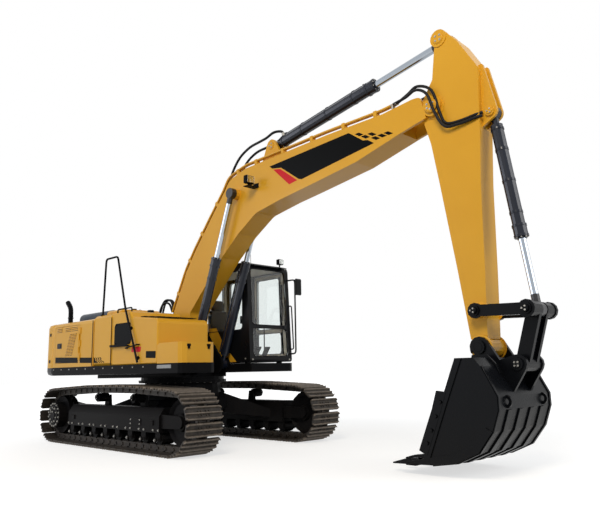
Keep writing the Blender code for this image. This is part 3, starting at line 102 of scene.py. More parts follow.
# %% Node helper and colours
def linear(code):
    """A hex colour such as E0A028 as linear RGBA."""
    channels = [int(code[i:i + 2], 16) / 255 for i in (0, 2, 4)]
    turned = [c / 12.92 if c <= 0.04045 else ((c + 0.055) / 1.055) ** 2.4 for c in channels]
    return (*turned, 1.0)


def add(tree, kind, inputs=None, **settings):
    """Adds one node; inputs maps a socket's name or number to a value or to another node's output."""
    made = tree.nodes.new(kind)
    for name, value in settings.items():
        setattr(made, name, value)
    for name, value in (inputs or {}).items():
        if isinstance(value, bpy.types.NodeSocket):
            tree.links.new(value, made.inputs[name])
        else:
            made.inputs[name].default_value = value
    return made


def material(name, **sockets):
    """A material with its shader, and the tree that they sit in; sockets set the shader's plain values."""
    made = bpy.data.materials.new(name)
    made.use_nodes = True
    tree = made.node_tree
    shader = tree.nodes["Principled BSDF"]
    for socket, value in sockets.items():
        shader.inputs[socket.replace("_", " ").title().replace("Ior", "IOR")].default_value = value
    return made, tree, shader


def link(tree, output, shader, socket):
    tree.links.new(output, shader.inputs[socket])


# %% [markdown]
# ## Light and floor
# The machine stands cut out on white. A broad soft lamp stands high at its front right, a
# second at its rear right, a third in front, and the sky adds a plain grey-white.
# The camera sees pure white behind the machine through a Light Path switch, and so do
# chrome and glass, but the light that falls on the machine stays at a plain level.

# %% World
world = bpy.data.worlds.new("studio")
bpy.context.scene.world = world
world.use_nodes = True
sky = world.node_tree
sky.nodes.clear()


def seen_directly(tree):
    """1 for what the camera sees, also by way of a mirror or a pane, and 0 for light on other surfaces."""
    path = add(tree, "ShaderNodeLightPath")
    direct = add(tree, "ShaderNodeMath", {0: path.outputs["Is Camera Ray"], 1: path.outputs["Is Glossy Ray"]},
                 operation="MAXIMUM")
    return add(tree, "ShaderNodeMath", {0: direct.outputs[0], 1: path.outputs["Is Transmission Ray"]},
               operation="MAXIMUM").outputs[0]


plain = add(sky, "ShaderNodeBackground", {"Color": linear("DDE3EA"), "Strength": 0.36})
white = add(sky, "ShaderNodeBackground", {"Color": (1, 1, 1, 1), "Strength": 1.0})
mixed = add(sky, "ShaderNodeMixShader", {0: seen_directly(sky), 1: plain.outputs[0], 2: white.outputs[0]})
add(sky, "ShaderNodeOutputWorld", {"Surface": mixed.outputs[0]})
bpy.context.scene.view_settings.view_transform = "Standard"

# %% Lamps
LAMPS = {
    # name: place, what it looks at, size, power in watts, colour
    "key": ((7.0, -9.0, 10.0), (0.5, 0, 1.8), 5.0, 980, "FFF3E2"),
    "fill": ((-7.0, -10.0, 4.5), (-1.0, 0, 1.5), 6.0, 330, "EEF2FF"),
    "front": ((12.0, 2.0, 6.0), (2.0, 0, 1.5), 5.0, 310, "FFFFFF"),
}
for name, (place, target, size, power, colour) in LAMPS.items():
    lamp = bpy.data.lights.new(name, "AREA")
    lamp.shape = "DISK"
    lamp.size = size
    lamp.energy = power
    lamp.color = linear(colour)[:3]
    holder = bpy.data.objects.new(name, lamp)
    bpy.context.scene.collection.objects.link(holder)
    away = Vector(place) - Vector(target)
    holder.matrix_world = Matrix.Translation(place) @ away.to_track_quat("Z", "Y").to_matrix().to_4x4()
print("lamps:", ", ".join(LAMPS))

# %% [markdown]
# ## Floor
# A pale floor that keeps the machine's shadow and still melts into the white. Its own glow
# is seen only by the camera, in mirrors and through panes, and it grows with the distance
# from the machine, so the horizon does not show as a grey band.

# %% Floor
ground = bmesh.new()
bmesh.ops.create_grid(ground, x_segments=1, y_segments=1, size=90)
floor_mesh = bpy.data.meshes.new("floor")
ground.to_mesh(floor_mesh)
ground.free()
floor = bpy.data.objects.new("floor", floor_mesh)
floor.location.z = -0.001
bpy.context.scene.collection.objects.link(floor)
pale, tree, shader = material("pale_studio_floor", base_color=linear("B4B4B2"), roughness=0.9)
spot_on_floor = add(tree, "ShaderNodeTexCoord").outputs["Object"]
distance = add(tree, "ShaderNodeVectorMath", {0: spot_on_floor}, operation="LENGTH")
glow = add(tree, "ShaderNodeMapRange", {0: distance.outputs["Value"], 1: 3.0, 2: 11.0, 3: 0.62, 4: 1.0})
shown = add(tree, "ShaderNodeMath", {0: glow.outputs[0], 1: seen_directly(tree)}, operation="MULTIPLY")
light = add(tree, "ShaderNodeEmission", {"Color": (1, 1, 1, 1), "Strength": shown.outputs[0]})
both = add(tree, "ShaderNodeAddShader", {0: shader.outputs[0], 1: light.outputs[0]})
tree.links.new(both.outputs[0], tree.nodes["Material Output"].inputs["Surface"])
floor.data.materials.append(pale)
print("floor laid, 180 m across")

# %% [markdown]
# ## Machine enamel
# The boom, arm, housings and tanks are steel plate under a sprayed two-pack enamel. Close
# up it is glossy with a faint waviness from the spray gun, called orange peel, and in use
# it takes a film of dust, most of it low down, with runs where rain has drawn it along.
# Two noises do this: a slow one shifts the tone, and a stretched one lays the dust. The peel
# is really 2 to 4 mm wide and is drawn at about 12 mm, the finest that shows from here.

# %% Machine enamel
def sprayed_enamel(name, base, shade, roughness, dust, coat=0.4, dusty_up_to=1.6, skirt=None, shine=0.5):
    """Enamel over steel plate: slow shifts between two tones, dust low down, and a fine bump.

    Below the height given as skirt the same coat is sprayed black.
    """
    made, tree, shader = material(name, coat_weight=coat, coat_roughness=0.10, specular_ior_level=shine)
    place = add(tree, "ShaderNodeTexCoord").outputs["Object"]
    slow = add(tree, "ShaderNodeTexNoise", {"Vector": place, "Scale": 1.3, "Detail": 3.0})
    tone = add(tree, "ShaderNodeMix", {0: slow.outputs[0], 6: linear(base), 7: linear(shade)}, data_type="RGBA")
    colour = tone.outputs[2]
    height = add(tree, "ShaderNodeSeparateXYZ", {0: place}).outputs["Z"]
    if skirt is not None:
        below = add(tree, "ShaderNodeMath", {0: height, 1: skirt}, operation="LESS_THAN")
        colour = add(tree, "ShaderNodeMix", {0: below.outputs[0], 6: colour, 7: linear("15161A")},
                     data_type="RGBA").outputs[2]
    low = add(tree, "ShaderNodeMapRange", {0: height, 1: 0.0, 2: dusty_up_to, 3: dust, 4: 0.0})
    runs = add(tree, "ShaderNodeMapping", {0: place, "Scale": (9.0, 9.0, 2.0)})
    grime = add(tree, "ShaderNodeTexNoise", {"Vector": runs.outputs[0], "Scale": 1.0, "Detail": 6.0, "Roughness": 0.6})
    patch = add(tree, "ShaderNodeMath", {0: low.outputs[0], 1: grime.outputs[0]}, operation="MULTIPLY")
    dusty = add(tree, "ShaderNodeMix", {0: patch.outputs[0], 6: colour, 7: linear("574D40")}, data_type="RGBA")
    link(tree, dusty.outputs[2], shader, "Base Color")
    rough = add(tree, "ShaderNodeMapRange", {0: grime.outputs[0], 3: roughness - 0.05, 4: roughness + 0.08})
    link(tree, rough.outputs[0], shader, "Roughness")
    skin = add(tree, "ShaderNodeTexNoise", {"Vector": place, "Scale": 80.0, "Detail": 1.0})
    bump = add(tree, "ShaderNodeBump", {"Strength": 0.05, "Distance": 0.002, "Height": skin.outputs[0]})
    link(tree, bump.outputs[0], shader, "Normal")
    return made


yellow = sprayed_enamel("yellow_machine_enamel", "DFA82B", "D39A20", 0.34, 0.12, coat=0.15, shine=0.22)
cast_yellow = sprayed_enamel("yellow_enamel_over_casting", "DFA82B", "D39A20", 0.36, 0.10, coat=0.15, skirt=1.262,
                             shine=0.22)
black = sprayed_enamel("black_chassis_enamel", "121316", "0C0D10", 0.36, 0.10, coat=0.0, shine=0.03)
blueblack = sprayed_enamel("black_implement_enamel", "0E1014", "08090C", 0.26, 0.05, coat=0.0, dusty_up_to=0.7,
                           shine=0.10)
barrel_enamel = sprayed_enamel("blue_black_barrel_enamel", "1C2230", "131824", 0.22, 0.0, coat=0.1, shine=0.25)
cab_black = sprayed_enamel("black_cab_enamel", "141518", "0D0E11", 0.28, 0.0, coat=0.0, shine=0.14)
grey = sprayed_enamel("grey_hood_enamel", "333D49", "29323D", 0.42, 0.0, coat=0.05, shine=0.2)
print("enamels mixed")

# %% [markdown]
# ## Track steel
# The shoes are hot-rolled, hardened steel, painted once and since scrubbed by the ground:
# brown dust in the hollows and bare metal on the tips of the lugs. The hollows and tips are
# told apart by a value stored on the mesh where it is made, which goes with the shoe round
# the chain. Grit of 2 to 3 mm is drawn at about 6 mm.

# %% Track steel
def rolled_steel(name, dark, pale_tone, metallic):
    made, tree, shader = material(name, metallic=metallic)
    place = add(tree, "ShaderNodeTexCoord").outputs["Object"]
    patches = add(tree, "ShaderNodeTexNoise", {"Vector": place, "Scale": 14.0, "Detail": 8.0, "Roughness": 0.65})
    ramp = add(tree, "ShaderNodeValToRGB", {0: patches.outputs[0]})
    ramp.color_ramp.elements[0].position = 0.36
    ramp.color_ramp.elements[0].color = linear(dark)
    ramp.color_ramp.elements[1].position = 0.66
    ramp.color_ramp.elements[1].color = linear(pale_tone)
    wear = add(tree, "ShaderNodeAttribute", attribute_name="wear")
    rubbed = add(tree, "ShaderNodeMath", {0: wear.outputs["Fac"], 1: patches.outputs[0]}, operation="MULTIPLY")
    bare = add(tree, "ShaderNodeMix", {0: rubbed.outputs[0], 6: ramp.outputs[0], 7: linear("8C8175")}, data_type="RGBA")
    link(tree, bare.outputs[2], shader, "Base Color")
    rough = add(tree, "ShaderNodeMapRange", {0: patches.outputs[0], 3: 0.42, 4: 0.75})
    link(tree, rough.outputs[0], shader, "Roughness")
    grit = add(tree, "ShaderNodeTexNoise", {"Vector": place, "Scale": 160.0, "Detail": 3.0})
    bump = add(tree, "ShaderNodeBump", {"Strength": 0.25, "Distance": 0.003, "Height": grit.outputs[0]})
    link(tree, bump.outputs[0], shader, "Normal")
    return made


track_steel = rolled_steel("scrubbed_track_steel", "1A1613", "3C352E", 0.35)
bolt_steel = rolled_steel("zinc_plated_bolt_steel", "8C8A84", "B8B6B0", 0.9)
print("steels rolled")

# %% [markdown]
# ## Chromed rods
# A rod is ground and hard-chromed along its stroke, so it mirrors the white surroundings,
# and its eye is a casting painted black. The CAD rod is one solid, so the finish tells the
# two apart by the distance along the rod, measured from the foot pin of its barrel.

# %% Chromed rods
def chromed_rod(name, foot, direction, painted_from):
    """Hard chrome up to a distance along the rod, and black enamel beyond it."""
    made, tree, shader = material(name)
    place = add(tree, "ShaderNodeTexCoord").outputs["Object"]
    line = Vector(direction).normalized()
    along = add(tree, "ShaderNodeVectorMath", {0: place, 1: line}, operation="DOT_PRODUCT")
    eye = add(tree, "ShaderNodeMath", {0: along.outputs["Value"], 1: line.dot(Vector(foot)) + painted_from},
              operation="GREATER_THAN")
    film = add(tree, "ShaderNodeTexNoise", {"Vector": place, "Scale": 6.0, "Detail": 4.0})
    tone = add(tree, "ShaderNodeMix", {0: eye.outputs[0], 6: linear("A3ABB4"), 7: linear("15161A")}, data_type="RGBA")
    link(tree, tone.outputs[2], shader, "Base Color")
    metal = add(tree, "ShaderNodeMath", {0: 1.0, 1: eye.outputs[0]}, operation="SUBTRACT")
    link(tree, metal.outputs[0], shader, "Metallic")
    oil = add(tree, "ShaderNodeMapRange", {0: film.outputs[0], 3: 0.08, 4: 0.20})
    rough = add(tree, "ShaderNodeMapRange", {0: eye.outputs[0], 3: oil.outputs[0], 4: 0.35})
    link(tree, rough.outputs[0], shader, "Roughness")
    return made


SWING = -1.8625     # the swing axis, measured from the middle of the machine's box


def spot(x, y, z):
    """A point measured from the swing axis on the ground: ahead, to the left and up."""
    return Vector((x + SWING, y, z))


# The foot pin and the rod's eye of each cylinder
BOOM_LINE = (spot(0.70, 0, 1.27), spot(1.70, 0, 3.90))
ARM_LINE = (spot(2.405, 0, 4.553), spot(5.48, 0, 5.067))
BUCKET_LINE = (spot(6.05, 0, 3.97), spot(6.38, 0, 1.70))
rod_chrome = {}
for name, (foot, eye) in {"boom": BOOM_LINE, "arm": ARM_LINE, "bucket": BUCKET_LINE}.items():
    reach = (eye - foot).length
    rod_chrome[name] = chromed_rod("hard_chromed_" + name + "_rod", foot, eye - foot, reach - 0.165)
    print(name, "cylinder:", round(reach, 3), "m between its pins")

# %% [markdown]
# ## Plastics, rubber, cloth, glass and lenses
# The cab's lining is pale moulded plastic with a leather-like grain of about 1 mm, drawn at
# 5 mm. Seat cloth is woven of dark yarn, and its weave is drawn coarser than it is. Hoses
# and seals are black rubber, hardly shiny. The panes are clear safety glass.

# %% Plastics, rubber, cloth, glass and lenses
def grained(name, tone_a, tone_b, roughness, scale, strength, pattern="ShaderNodeTexVoronoi", shine=0.2):
    """A moulded surface: a fine grain that tints and bumps it."""
    made, tree, shader = material(name, roughness=roughness, specular_ior_level=shine)
    place = add(tree, "ShaderNodeTexCoord").outputs["Object"]
    grain = add(tree, pattern, {"Vector": place, "Scale": scale})
    tone = add(tree, "ShaderNodeMix", {0: grain.outputs[0], 6: linear(tone_a), 7: linear(tone_b)}, data_type="RGBA")
    link(tree, tone.outputs[2], shader, "Base Color")
    bump = add(tree, "ShaderNodeBump", {"Strength": strength, "Distance": 0.001, "Height": grain.outputs[0]})
    link(tree, bump.outputs[0], shader, "Normal")
    return made


# Besides real dark plastic, this finish also serves as the painted shade in the door vents' gaps.
moulded = grained("dark_moulded_plastic_and_painted_shade", "26272A", "34363A", 0.6, 220.0, 0.2)
lining = grained("pale_cab_lining_plastic", "C9BFAC", "B9AE99", 0.65, 200.0, 0.2)
rubber = grained("black_hose_rubber", "0E0E10", "161618", 0.5, 120.0, 0.15, "ShaderNodeTexNoise", 0.15)
film_black = grained("black_vinyl_film", "060708", "0A0B0C", 0.32, 60.0, 0.03, "ShaderNodeTexNoise", 0.04)
film_red = grained("red_vinyl_film", "D0121E", "BE101B", 0.32, 60.0, 0.03, "ShaderNodeTexNoise", 0.15)
plate_grey = grained("brushed_aluminium_plate", "8D9092", "A4A7A9", 0.42, 40.0, 0.05, "ShaderNodeTexNoise")

cloth, tree, shader = material("woven_seat_cloth", roughness=0.95, sheen_weight=0.4)
place = add(tree, "ShaderNodeTexCoord").outputs["Object"]
weave = add(tree, "ShaderNodeTexWave", {"Vector": place, "Scale": 90.0, "Distortion": 1.0}, bands_direction="DIAGONAL")
tone = add(tree, "ShaderNodeMix", {0: weave.outputs[1], 6: linear("232428"), 7: linear("3C3E43")}, data_type="RGBA")
link(tree, tone.outputs[2], shader, "Base Color")
bump = add(tree, "ShaderNodeBump", {"Strength": 0.3, "Distance": 0.002, "Height": weave.outputs[1]})
link(tree, bump.outputs[0], shader, "Normal")


def clear(name, tint, roughness, ripple):
    """Glass or a moulded lens, with a ripple of its own."""
    made, tree, shader = material(name, base_color=linear(tint), roughness=roughness, transmission_weight=1.0, ior=1.45)
    place = add(tree, "ShaderNodeTexCoord").outputs["Object"]
    waves = add(tree, "ShaderNodeTexNoise", {"Vector": place, "Scale": ripple})
    bump = add(tree, "ShaderNodeBump", {"Strength": 0.02, "Distance": 0.001, "Height": waves.outputs[0]})
    link(tree, bump.outputs[0], shader, "Normal")
    return made


glass = clear("clear_safety_glass", "F4F8F7", 0.0, 2.0)
lens = clear("moulded_lamp_lens", "F6F6F2", 0.05, 90.0)
mirror_silver, tree, shader = material("silvered_mirror", metallic=1.0, roughness=0.03)
place = add(tree, "ShaderNodeTexCoord").outputs["Object"]
haze = add(tree, "ShaderNodeTexNoise", {"Vector": place, "Scale": 12.0})
tone = add(tree, "ShaderNodeMix", {0: haze.outputs[0], 6: linear("E2E6E8"), 7: linear("D6DADC")}, data_type="RGBA")
link(tree, tone.outputs[2], shader, "Base Color")
print(len(bpy.data.materials), "finishes in all")

# %% [markdown]
# ## Which finish goes on which piece
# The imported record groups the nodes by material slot. A short table gives each slot its
# finish, and the few nodes that differ are named one by one.

# %% Which finish goes on which piece
SLOT_FINISH = {
    "yellow_paint": yellow,
    "black_paint": black,
    "work_black": blueblack,
    "grey_cover": grey,
    "worn_steel": track_steel,
    "chrome_rod": rod_chrome["boom"],
    "dark_trim": moulded,
    "seat_fabric": cloth,
    "cab_glass": glass,
}
NODE_FINISH = {
    "counterweight": cast_yellow,
    "arm_cylinder_rod": rod_chrome["arm"],
    "bucket_cylinder_rod": rod_chrome["bucket"],
    "boom_cylinder_barrel_right": barrel_enamel,
    "boom_cylinder_barrel_left": barrel_enamel,
    "arm_cylinder_barrel": barrel_enamel,
    "bucket_cylinder_barrel": barrel_enamel,
    "cab_shell": cab_black,
    "cab_door": cab_black,
    "mirror": cab_black,
}
for entry in frame["record"]["subparts"]:
    item = nodes[entry["node"]]
    item.data.materials.clear()
    item.data.materials.append(NODE_FINISH.get(entry["node"], SLOT_FINISH[entry["material_slot"]]))
print("finishes on", len(nodes), "nodes")

# %% [markdown]
# ## Helpers for new pieces
# Every new piece starts as a bmesh, Blender's editable mesh. These helpers draw the common
# forms: a cone between two points, a flat outline pulled to a thickness, a hexagon bolt
# head. Then piece turns a finished bmesh into a named object that rides on a body, and pipe
# makes a bent tube.

# %% Helpers for new pieces
def newest(shape, count):
    """The vertices added since there were count of them."""
    shape.verts.ensure_lookup_table()
    return shape.verts[count:]


def stick(shape, start, end, radius, sides=12, end_radius=None):
    """A round bar between two points, from the create_cone operator."""
    start, end = Vector(start), Vector(end)
    line = end - start
    place = Matrix.Translation((start + end) / 2) @ line.to_track_quat("Z", "Y").to_matrix().to_4x4()
    bmesh.ops.create_cone(shape, cap_ends=True, segments=sides, radius1=radius,
                          radius2=radius if end_radius is None else end_radius, depth=line.length, matrix=place)


def block(shape, low, high, edge=0.0):
    """A box between two corners, with its edges bevelled."""
    low, high = Vector(low), Vector(high)
    before = len(shape.verts)
    size = high - low
    place = Matrix.Translation((low + high) / 2) @ Matrix.Diagonal((*size, 1.0))
    bmesh.ops.create_cube(shape, size=1.0, matrix=place)
    if edge > 0:
        made = newest(shape, before)
        edges = list({line for vert in made for line in vert.link_edges})
        bmesh.ops.bevel(shape, geom=edges, offset=edge, affect="EDGES", segments=2, profile=0.5, material=-1)


def slab(shape, outline, depth):
    """A flat outline of points, pulled along a vector to a plate."""
    corners = [shape.verts.new(point) for point in outline]
    face = shape.faces.new(corners)
    pulled = bmesh.ops.extrude_face_region(shape, geom=[face], use_keep_orig=True)
    bmesh.ops.translate(shape, vec=depth, verts=[v for v in pulled["geom"] if isinstance(v, bmesh.types.BMVert)])


def collar(shape, start, end, radius, bore, steps=28):
    """A ring with a square section round the line from start to end, turned by the spin operator."""
    start, end = Vector(start), Vector(end)
    line = (end - start).normalized()
    across = line.orthogonal().normalized()
    corners = [shape.verts.new(at + across * r) for at, r in ((start, bore), (start, radius), (end, radius),
                                                              (end, bore))]
    edges = [shape.edges.new((corners[i], corners[(i + 1) % 4])) for i in range(4)]
    bmesh.ops.spin(shape, geom=corners + edges, cent=start, axis=line, angle=2 * pi, steps=steps, use_merge=True)


def bolt_head(shape, at, out, across=0.024, height=0.012, washer=0.004):
    """A hexagon head on its washer, standing off a surface along out."""
    at, out = Vector(at), Vector(out).normalized()
    stick(shape, at, at + out * washer, across * 0.72, 12)
    stick(shape, at + out * washer, at + out * (washer + height), across * 0.5, 6)


def bolt_circle(shape, centre, out, radius, count, **size):
    """Bolt heads evenly round a circle that faces along out."""
    out = Vector(out).normalized()
    turn = out.to_track_quat("Z", "Y")
    for k in range(count):
        a = 2 * pi * (k + 0.5) / count
        bolt_head(shape, Vector(centre) + turn @ Vector((radius * cos(a), radius * sin(a), 0)), out, **size)


def oblong(u0, v0, u1, v1):
    """The four corners of an upright rectangle, counter-clockwise."""
    return (u0, v0), (u1, v0), (u1, v1), (u0, v1)


def rounded(corners, radius, steps=4):
    """Corners (u, v) of a flat outline, each turned to a short arc."""
    points = []
    for i, corner in enumerate(corners):
        here = Vector(corner)
        back, ahead = Vector(corners[i - 1]) - here, Vector(corners[(i + 1) % len(corners)]) - here
        inset = min(radius, 0.45 * back.length, 0.45 * ahead.length)
        start, end = here + back.normalized() * inset, here + ahead.normalized() * inset
        for k in range(steps + 1):
            t = k / steps
            points.append((1 - t) ** 2 * start + 2 * t * (1 - t) * here + t ** 2 * end)
    return points


def piece(name, shape, finish, body, edge=0.0, smooth=35):
    """Names a finished bmesh, gives it its finish and lets it ride on a body, if one is given."""
    bmesh.ops.recalc_face_normals(shape, faces=shape.faces)
    mesh = bpy.data.meshes.new(name)
    shape.to_mesh(mesh)
    shape.free()
    mesh.shade_smooth()
    mesh.set_sharp_from_angle(angle=radians(smooth))
    item = bpy.data.objects.new(name, mesh)
    bpy.context.scene.collection.objects.link(item)
    mesh.materials.append(finish)
    if edge > 0:
        bevel = item.modifiers.new("edge", "BEVEL")
        bevel.width = edge
        bevel.segments = 2
        bevel.limit_method = "ANGLE"
    if body:
        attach(item, body)
    return item


def pipe(name, points, radius, finish, body, round_off=0.06, closed=False):
    """A bent tube as a curve: straight runs between points, with each bend rounded."""
    route = [Vector(p) for p in points]
    if not closed:
        smooth = [route[0]]
        for back, here, ahead in zip(route, route[1:], route[2:]):
            inset = min(round_off, 0.45 * (back - here).length, 0.45 * (ahead - here).length)
            start, end = here + (back - here).normalized() * inset, here + (ahead - here).normalized() * inset
            smooth += [(1 - t) ** 2 * start + 2 * t * (1 - t) * here + t ** 2 * end for t in (0, 0.25, 0.5, 0.75, 1)]
        route = [*smooth, route[-1]]
    curve = bpy.data.curves.new(name, "CURVE")
    curve.dimensions = "3D"
    curve.bevel_depth = radius
    curve.bevel_resolution = 3
    curve.use_fill_caps = not closed
    line = curve.splines.new("POLY")
    line.points.add(len(route) - 1)
    for knot, point in zip(line.points, route):
        knot.co = (*point, 1.0)
    line.use_cyclic_u = closed
    item = bpy.data.objects.new(name, curve)
    bpy.context.scene.collection.objects.link(item)
    curve.materials.append(finish)
    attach(item, body)


RIGHT = Vector((0, -1, 0))
LEFT = Vector((0, 1, 0))
UP = Vector((0, 0, 1))
AHEAD = Vector((1, 0, 0))
SIDES = {"right": RIGHT, "left": LEFT}
print("helpers ready")

# %% [markdown]
# ## The path of a track chain
# A crawler's chain runs round the sprocket, the idler and two carrier rollers. The path is
# worked out as a belt round four circles: each pair gives a common tangent, and between the
# tangents the chain turns about the wheel. The joints of the chain are then stepped off
# along it at one pitch each.

# %% The path of a track chain
GAUGE, SHOE_WIDTH, SHOES = 2.38, 0.60, 49
WHEEL_BASE, WHEEL_Z, WHEEL_RADIUS = 3.63, 0.455, 0.325     # radius of the rails' inside on the wheels
CARRIER_BASE, CARRIER_Z, CARRIER_RADIUS = 1.10, 0.765, 0.07
PITCH_LINE = 0.044      # the pins' height over the rails' inside
CIRCLES = ((-WHEEL_BASE / 2, WHEEL_Z, WHEEL_RADIUS), (WHEEL_BASE / 2, WHEEL_Z, WHEEL_RADIUS),
           (CARRIER_BASE / 2, CARRIER_Z, CARRIER_RADIUS), (-CARRIER_BASE / 2, CARRIER_Z, CARRIER_RADIUS))


def chain_runs():
    """The chain as (length, point, radius or None, angle of the outward normal)."""
    count, normals = len(CIRCLES), []
    for i, (u0, v0, r0) in enumerate(CIRCLES):
        u1, v1, r1 = CIRCLES[(i + 1) % count]
        du, dv = u1 - u0, v1 - v0
        reach = hypot(du, dv)
        tilt = (r0 - r1) / reach
        across = sqrt(1.0 - tilt * tilt)
        normals.append(atan2(-across * du / reach + tilt * dv / reach, across * dv / reach + tilt * du / reach))
    runs = []
    for i, (u, v, radius) in enumerate(CIRCLES):
        start, leave = normals[i - 1], normals[i]
        sweep = (leave - start) % (2 * pi)
        sweep = sweep if sweep < pi * 1.5 else 0.0
        runs.append(((radius + PITCH_LINE) * sweep, (u, v), radius, start))
        u1, v1, radius1 = CIRCLES[(i + 1) % count]
        begin = (u + radius * cos(leave), v + radius * sin(leave))
        end = (u1 + radius1 * cos(leave), v1 + radius1 * sin(leave))
        runs.append((hypot(end[0] - begin[0], end[1] - begin[1]), begin, None, leave))
    return runs


def chain_joints():
    """The pins of the chain as points (x, z), and the pitch between them."""
    runs = chain_runs()
    pitch = sum(run[0] for run in runs) / SHOES
    joints, travelled, due = [], 0.0, pitch / 2
    for length, at, radius, angle in runs:
        while due < travelled + length and len(joints) < SHOES:
            beyond = due - travelled
            if radius is None:
                x, z = at[0] - sin(angle) * beyond, at[1] + cos(angle) * beyond
                turn = angle
            else:
                turn = angle + beyond / (radius + PITCH_LINE)
                x, z = at[0] + radius * cos(turn), at[1] + radius * sin(turn)
            joints.append((x + PITCH_LINE * cos(turn), z + PITCH_LINE * sin(turn)))
            due += pitch
        travelled += length
    return joints, pitch


JOINTS, PITCH = chain_joints()

# %% [markdown]
# ## One shoe with its links
# A triple-grouser shoe is a rolled plate with three bars across it, cut off at its corners,
# and held by four bolts to each of two forged links. The section is drawn once and extruded across
# the track; its two ends are drawn in, which gives the clipped corners. A pin and a bushing
# join it to the next shoe.

# %% One shoe with its links
RAILS = (-0.065, 0.065)
SECTION = ((0.003, 0.089), (PITCH - 0.003, 0.089), (PITCH - 0.003, 0.101), (PITCH - 0.008, 0.124),
           (PITCH - 0.012, 0.1285), (PITCH - 0.021, 0.1285), (PITCH - 0.026, 0.124), (PITCH - 0.036, 0.104),
           (PITCH / 2 + 0.017, 0.103), (PITCH / 2 + 0.008, 0.125), (PITCH / 2 + 0.005, 0.1285),
           (PITCH / 2 - 0.005, 0.1285), (PITCH / 2 - 0.008, 0.125), (PITCH / 2 - 0.017, 0.103),
           (0.036, 0.104), (0.026, 0.124), (0.021, 0.1285), (0.012, 0.1285), (0.008, 0.124), (0.003, 0.101))


def shoe_template():
    """A shoe in its own place: x along the chain from one pin, y across it, z outwards."""
    shape = bmesh.new()
    wear = shape.verts.layers.float.new("wear")
    half, clip = SHOE_WIDTH / 2, 0.03
    face = shape.faces.new([shape.verts.new((x, -half, z - PITCH_LINE)) for x, z in SECTION])
    bmesh.ops.scale(shape, vec=(0.80, 1.0, 1.0), verts=face.verts, space=Matrix.Translation((-PITCH / 2, 0, 0)))
    for step, stretch in ((clip, 1.25), (SHOE_WIDTH - 2 * clip, 1.0), (clip, 0.80)):
        pulled = bmesh.ops.extrude_face_region(shape, geom=[face])
        corners = [v for v in pulled["geom"] if isinstance(v, bmesh.types.BMVert)]
        bmesh.ops.translate(shape, vec=(0, step, 0), verts=corners)
        bmesh.ops.scale(shape, vec=(stretch, 1.0, 1.0), verts=corners, space=Matrix.Translation((-PITCH / 2, 0, 0)))
        face = next(f for f in pulled["geom"] if isinstance(f, bmesh.types.BMFace))
    for vert in shape.verts:
        vert[wear] = 1.0 if vert.co.z > 0.075 else 0.0
    link = ((-0.034, 0.012), (-0.012, 0.001), (PITCH - 0.052, 0.001), (PITCH - 0.04, 0.012), (PITCH - 0.04, 0.07),
            (PITCH - 0.052, 0.088), (0.004, 0.088), (-0.034, 0.07))
    for rail in RAILS:
        slab(shape, [(x, rail - 0.021, z - PITCH_LINE) for x, z in link], (0, 0.042, 0))
        stick(shape, (0, rail - 0.033, 0), (0, rail + 0.033, 0), 0.024, 12)
        for x in (PITCH * 0.355, PITCH * 0.645):
            for y in (rail - 0.024, rail + 0.024):
                stick(shape, (x, y, 0.103 - PITCH_LINE), (x, y, 0.116 - PITCH_LINE), 0.013, 6)
    stick(shape, (0, RAILS[0], 0), (0, RAILS[1], 0), 0.029, 12)
    bmesh.ops.recalc_face_normals(shape, faces=shape.faces)
    mesh = bpy.data.meshes.new("shoe")
    shape.to_mesh(mesh)
    shape.free()
    return mesh


shoe = shoe_template()
print("one shoe:", len(shoe.polygons), "faces")

# %% [markdown]
# ## The two tracks
# The shoe is set down once for each joint of the chain, turned so that its ends meet the
# pins. The finished chain stands in for the plain one of the construction model.

# %% The two tracks
def track(side):
    shape = bmesh.new()
    middle = SIDES[side].y * GAUGE / 2
    for k, (x, z) in enumerate(JOINTS):
        x1, z1 = JOINTS[(k + 1) % SHOES]
        along = Vector((x1 - x, 0, z1 - z)).normalized()
        outward = Vector((along.z, 0, -along.x))
        before = len(shape.verts)
        shape.from_mesh(shoe)
        turn = Matrix((along, LEFT, outward)).transposed().to_4x4()
        bmesh.ops.transform(shape, matrix=Matrix.Translation(spot(x, middle, z)) @ turn, verts=newest(shape, before))
    item = piece("track_chain_" + side, shape, track_steel, "undercarriage")
    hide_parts("track_" + side)
    return len(item.data.polygons)


print("track faces:", [track(side) for side in SIDES])

# %% [markdown]
# ## The rounded engine hood
# The hood is a pressed sheet with a rounded rim, hinged along its front edge. The pressing is
# made as a block whose upper and upright edges are bevelled in six steps, then hollowed from below with
# an inset and an extrusion. Its own half of the hinge is the second and fourth knuckle, and
# three louvred grilles let the fan's air out through its top.

# %% The rounded engine hood
HOOD_LOW, HOOD_TOP = (-2.040, -0.95, 2.0625), (-0.802, 0.95, 2.240)
HOOD_HINGE = spot(-0.7875, 0, 2.0625)


def hood_pressing():
    shape = bmesh.new()
    block(shape, spot(*HOOD_LOW), spot(*HOOD_TOP))
    rim = [e for e in shape.edges if sum(v.co.z for v in e.verts) / 2 > HOOD_LOW[2] + 0.01]
    bmesh.ops.bevel(shape, geom=rim, offset=0.10, affect="EDGES", segments=6, profile=0.5, material=-1)
    under = min(shape.faces, key=lambda f: f.calc_center_median().z)
    bmesh.ops.inset_region(shape, faces=[under], thickness=0.02)
    pulled = bmesh.ops.extrude_face_region(shape, geom=[under])
    bmesh.ops.translate(shape, vec=UP * 0.09, verts=[v for v in pulled["geom"] if isinstance(v, bmesh.types.BMVert)])
    bmesh.ops.delete(shape, geom=[under], context="FACES")
    for k in (1, 3):
        low, high = -0.5 + 0.2 * k + 0.001, -0.5 + 0.2 * (k + 1) - 0.001
        stick(shape, HOOD_HINGE + LEFT * low, HOOD_HINGE + LEFT * high, 0.0115, 12)
        block(shape, HOOD_HINGE + Vector((-0.045, low, 0.002)), HOOD_HINGE + Vector((0, high, 0.008)))
    return shape


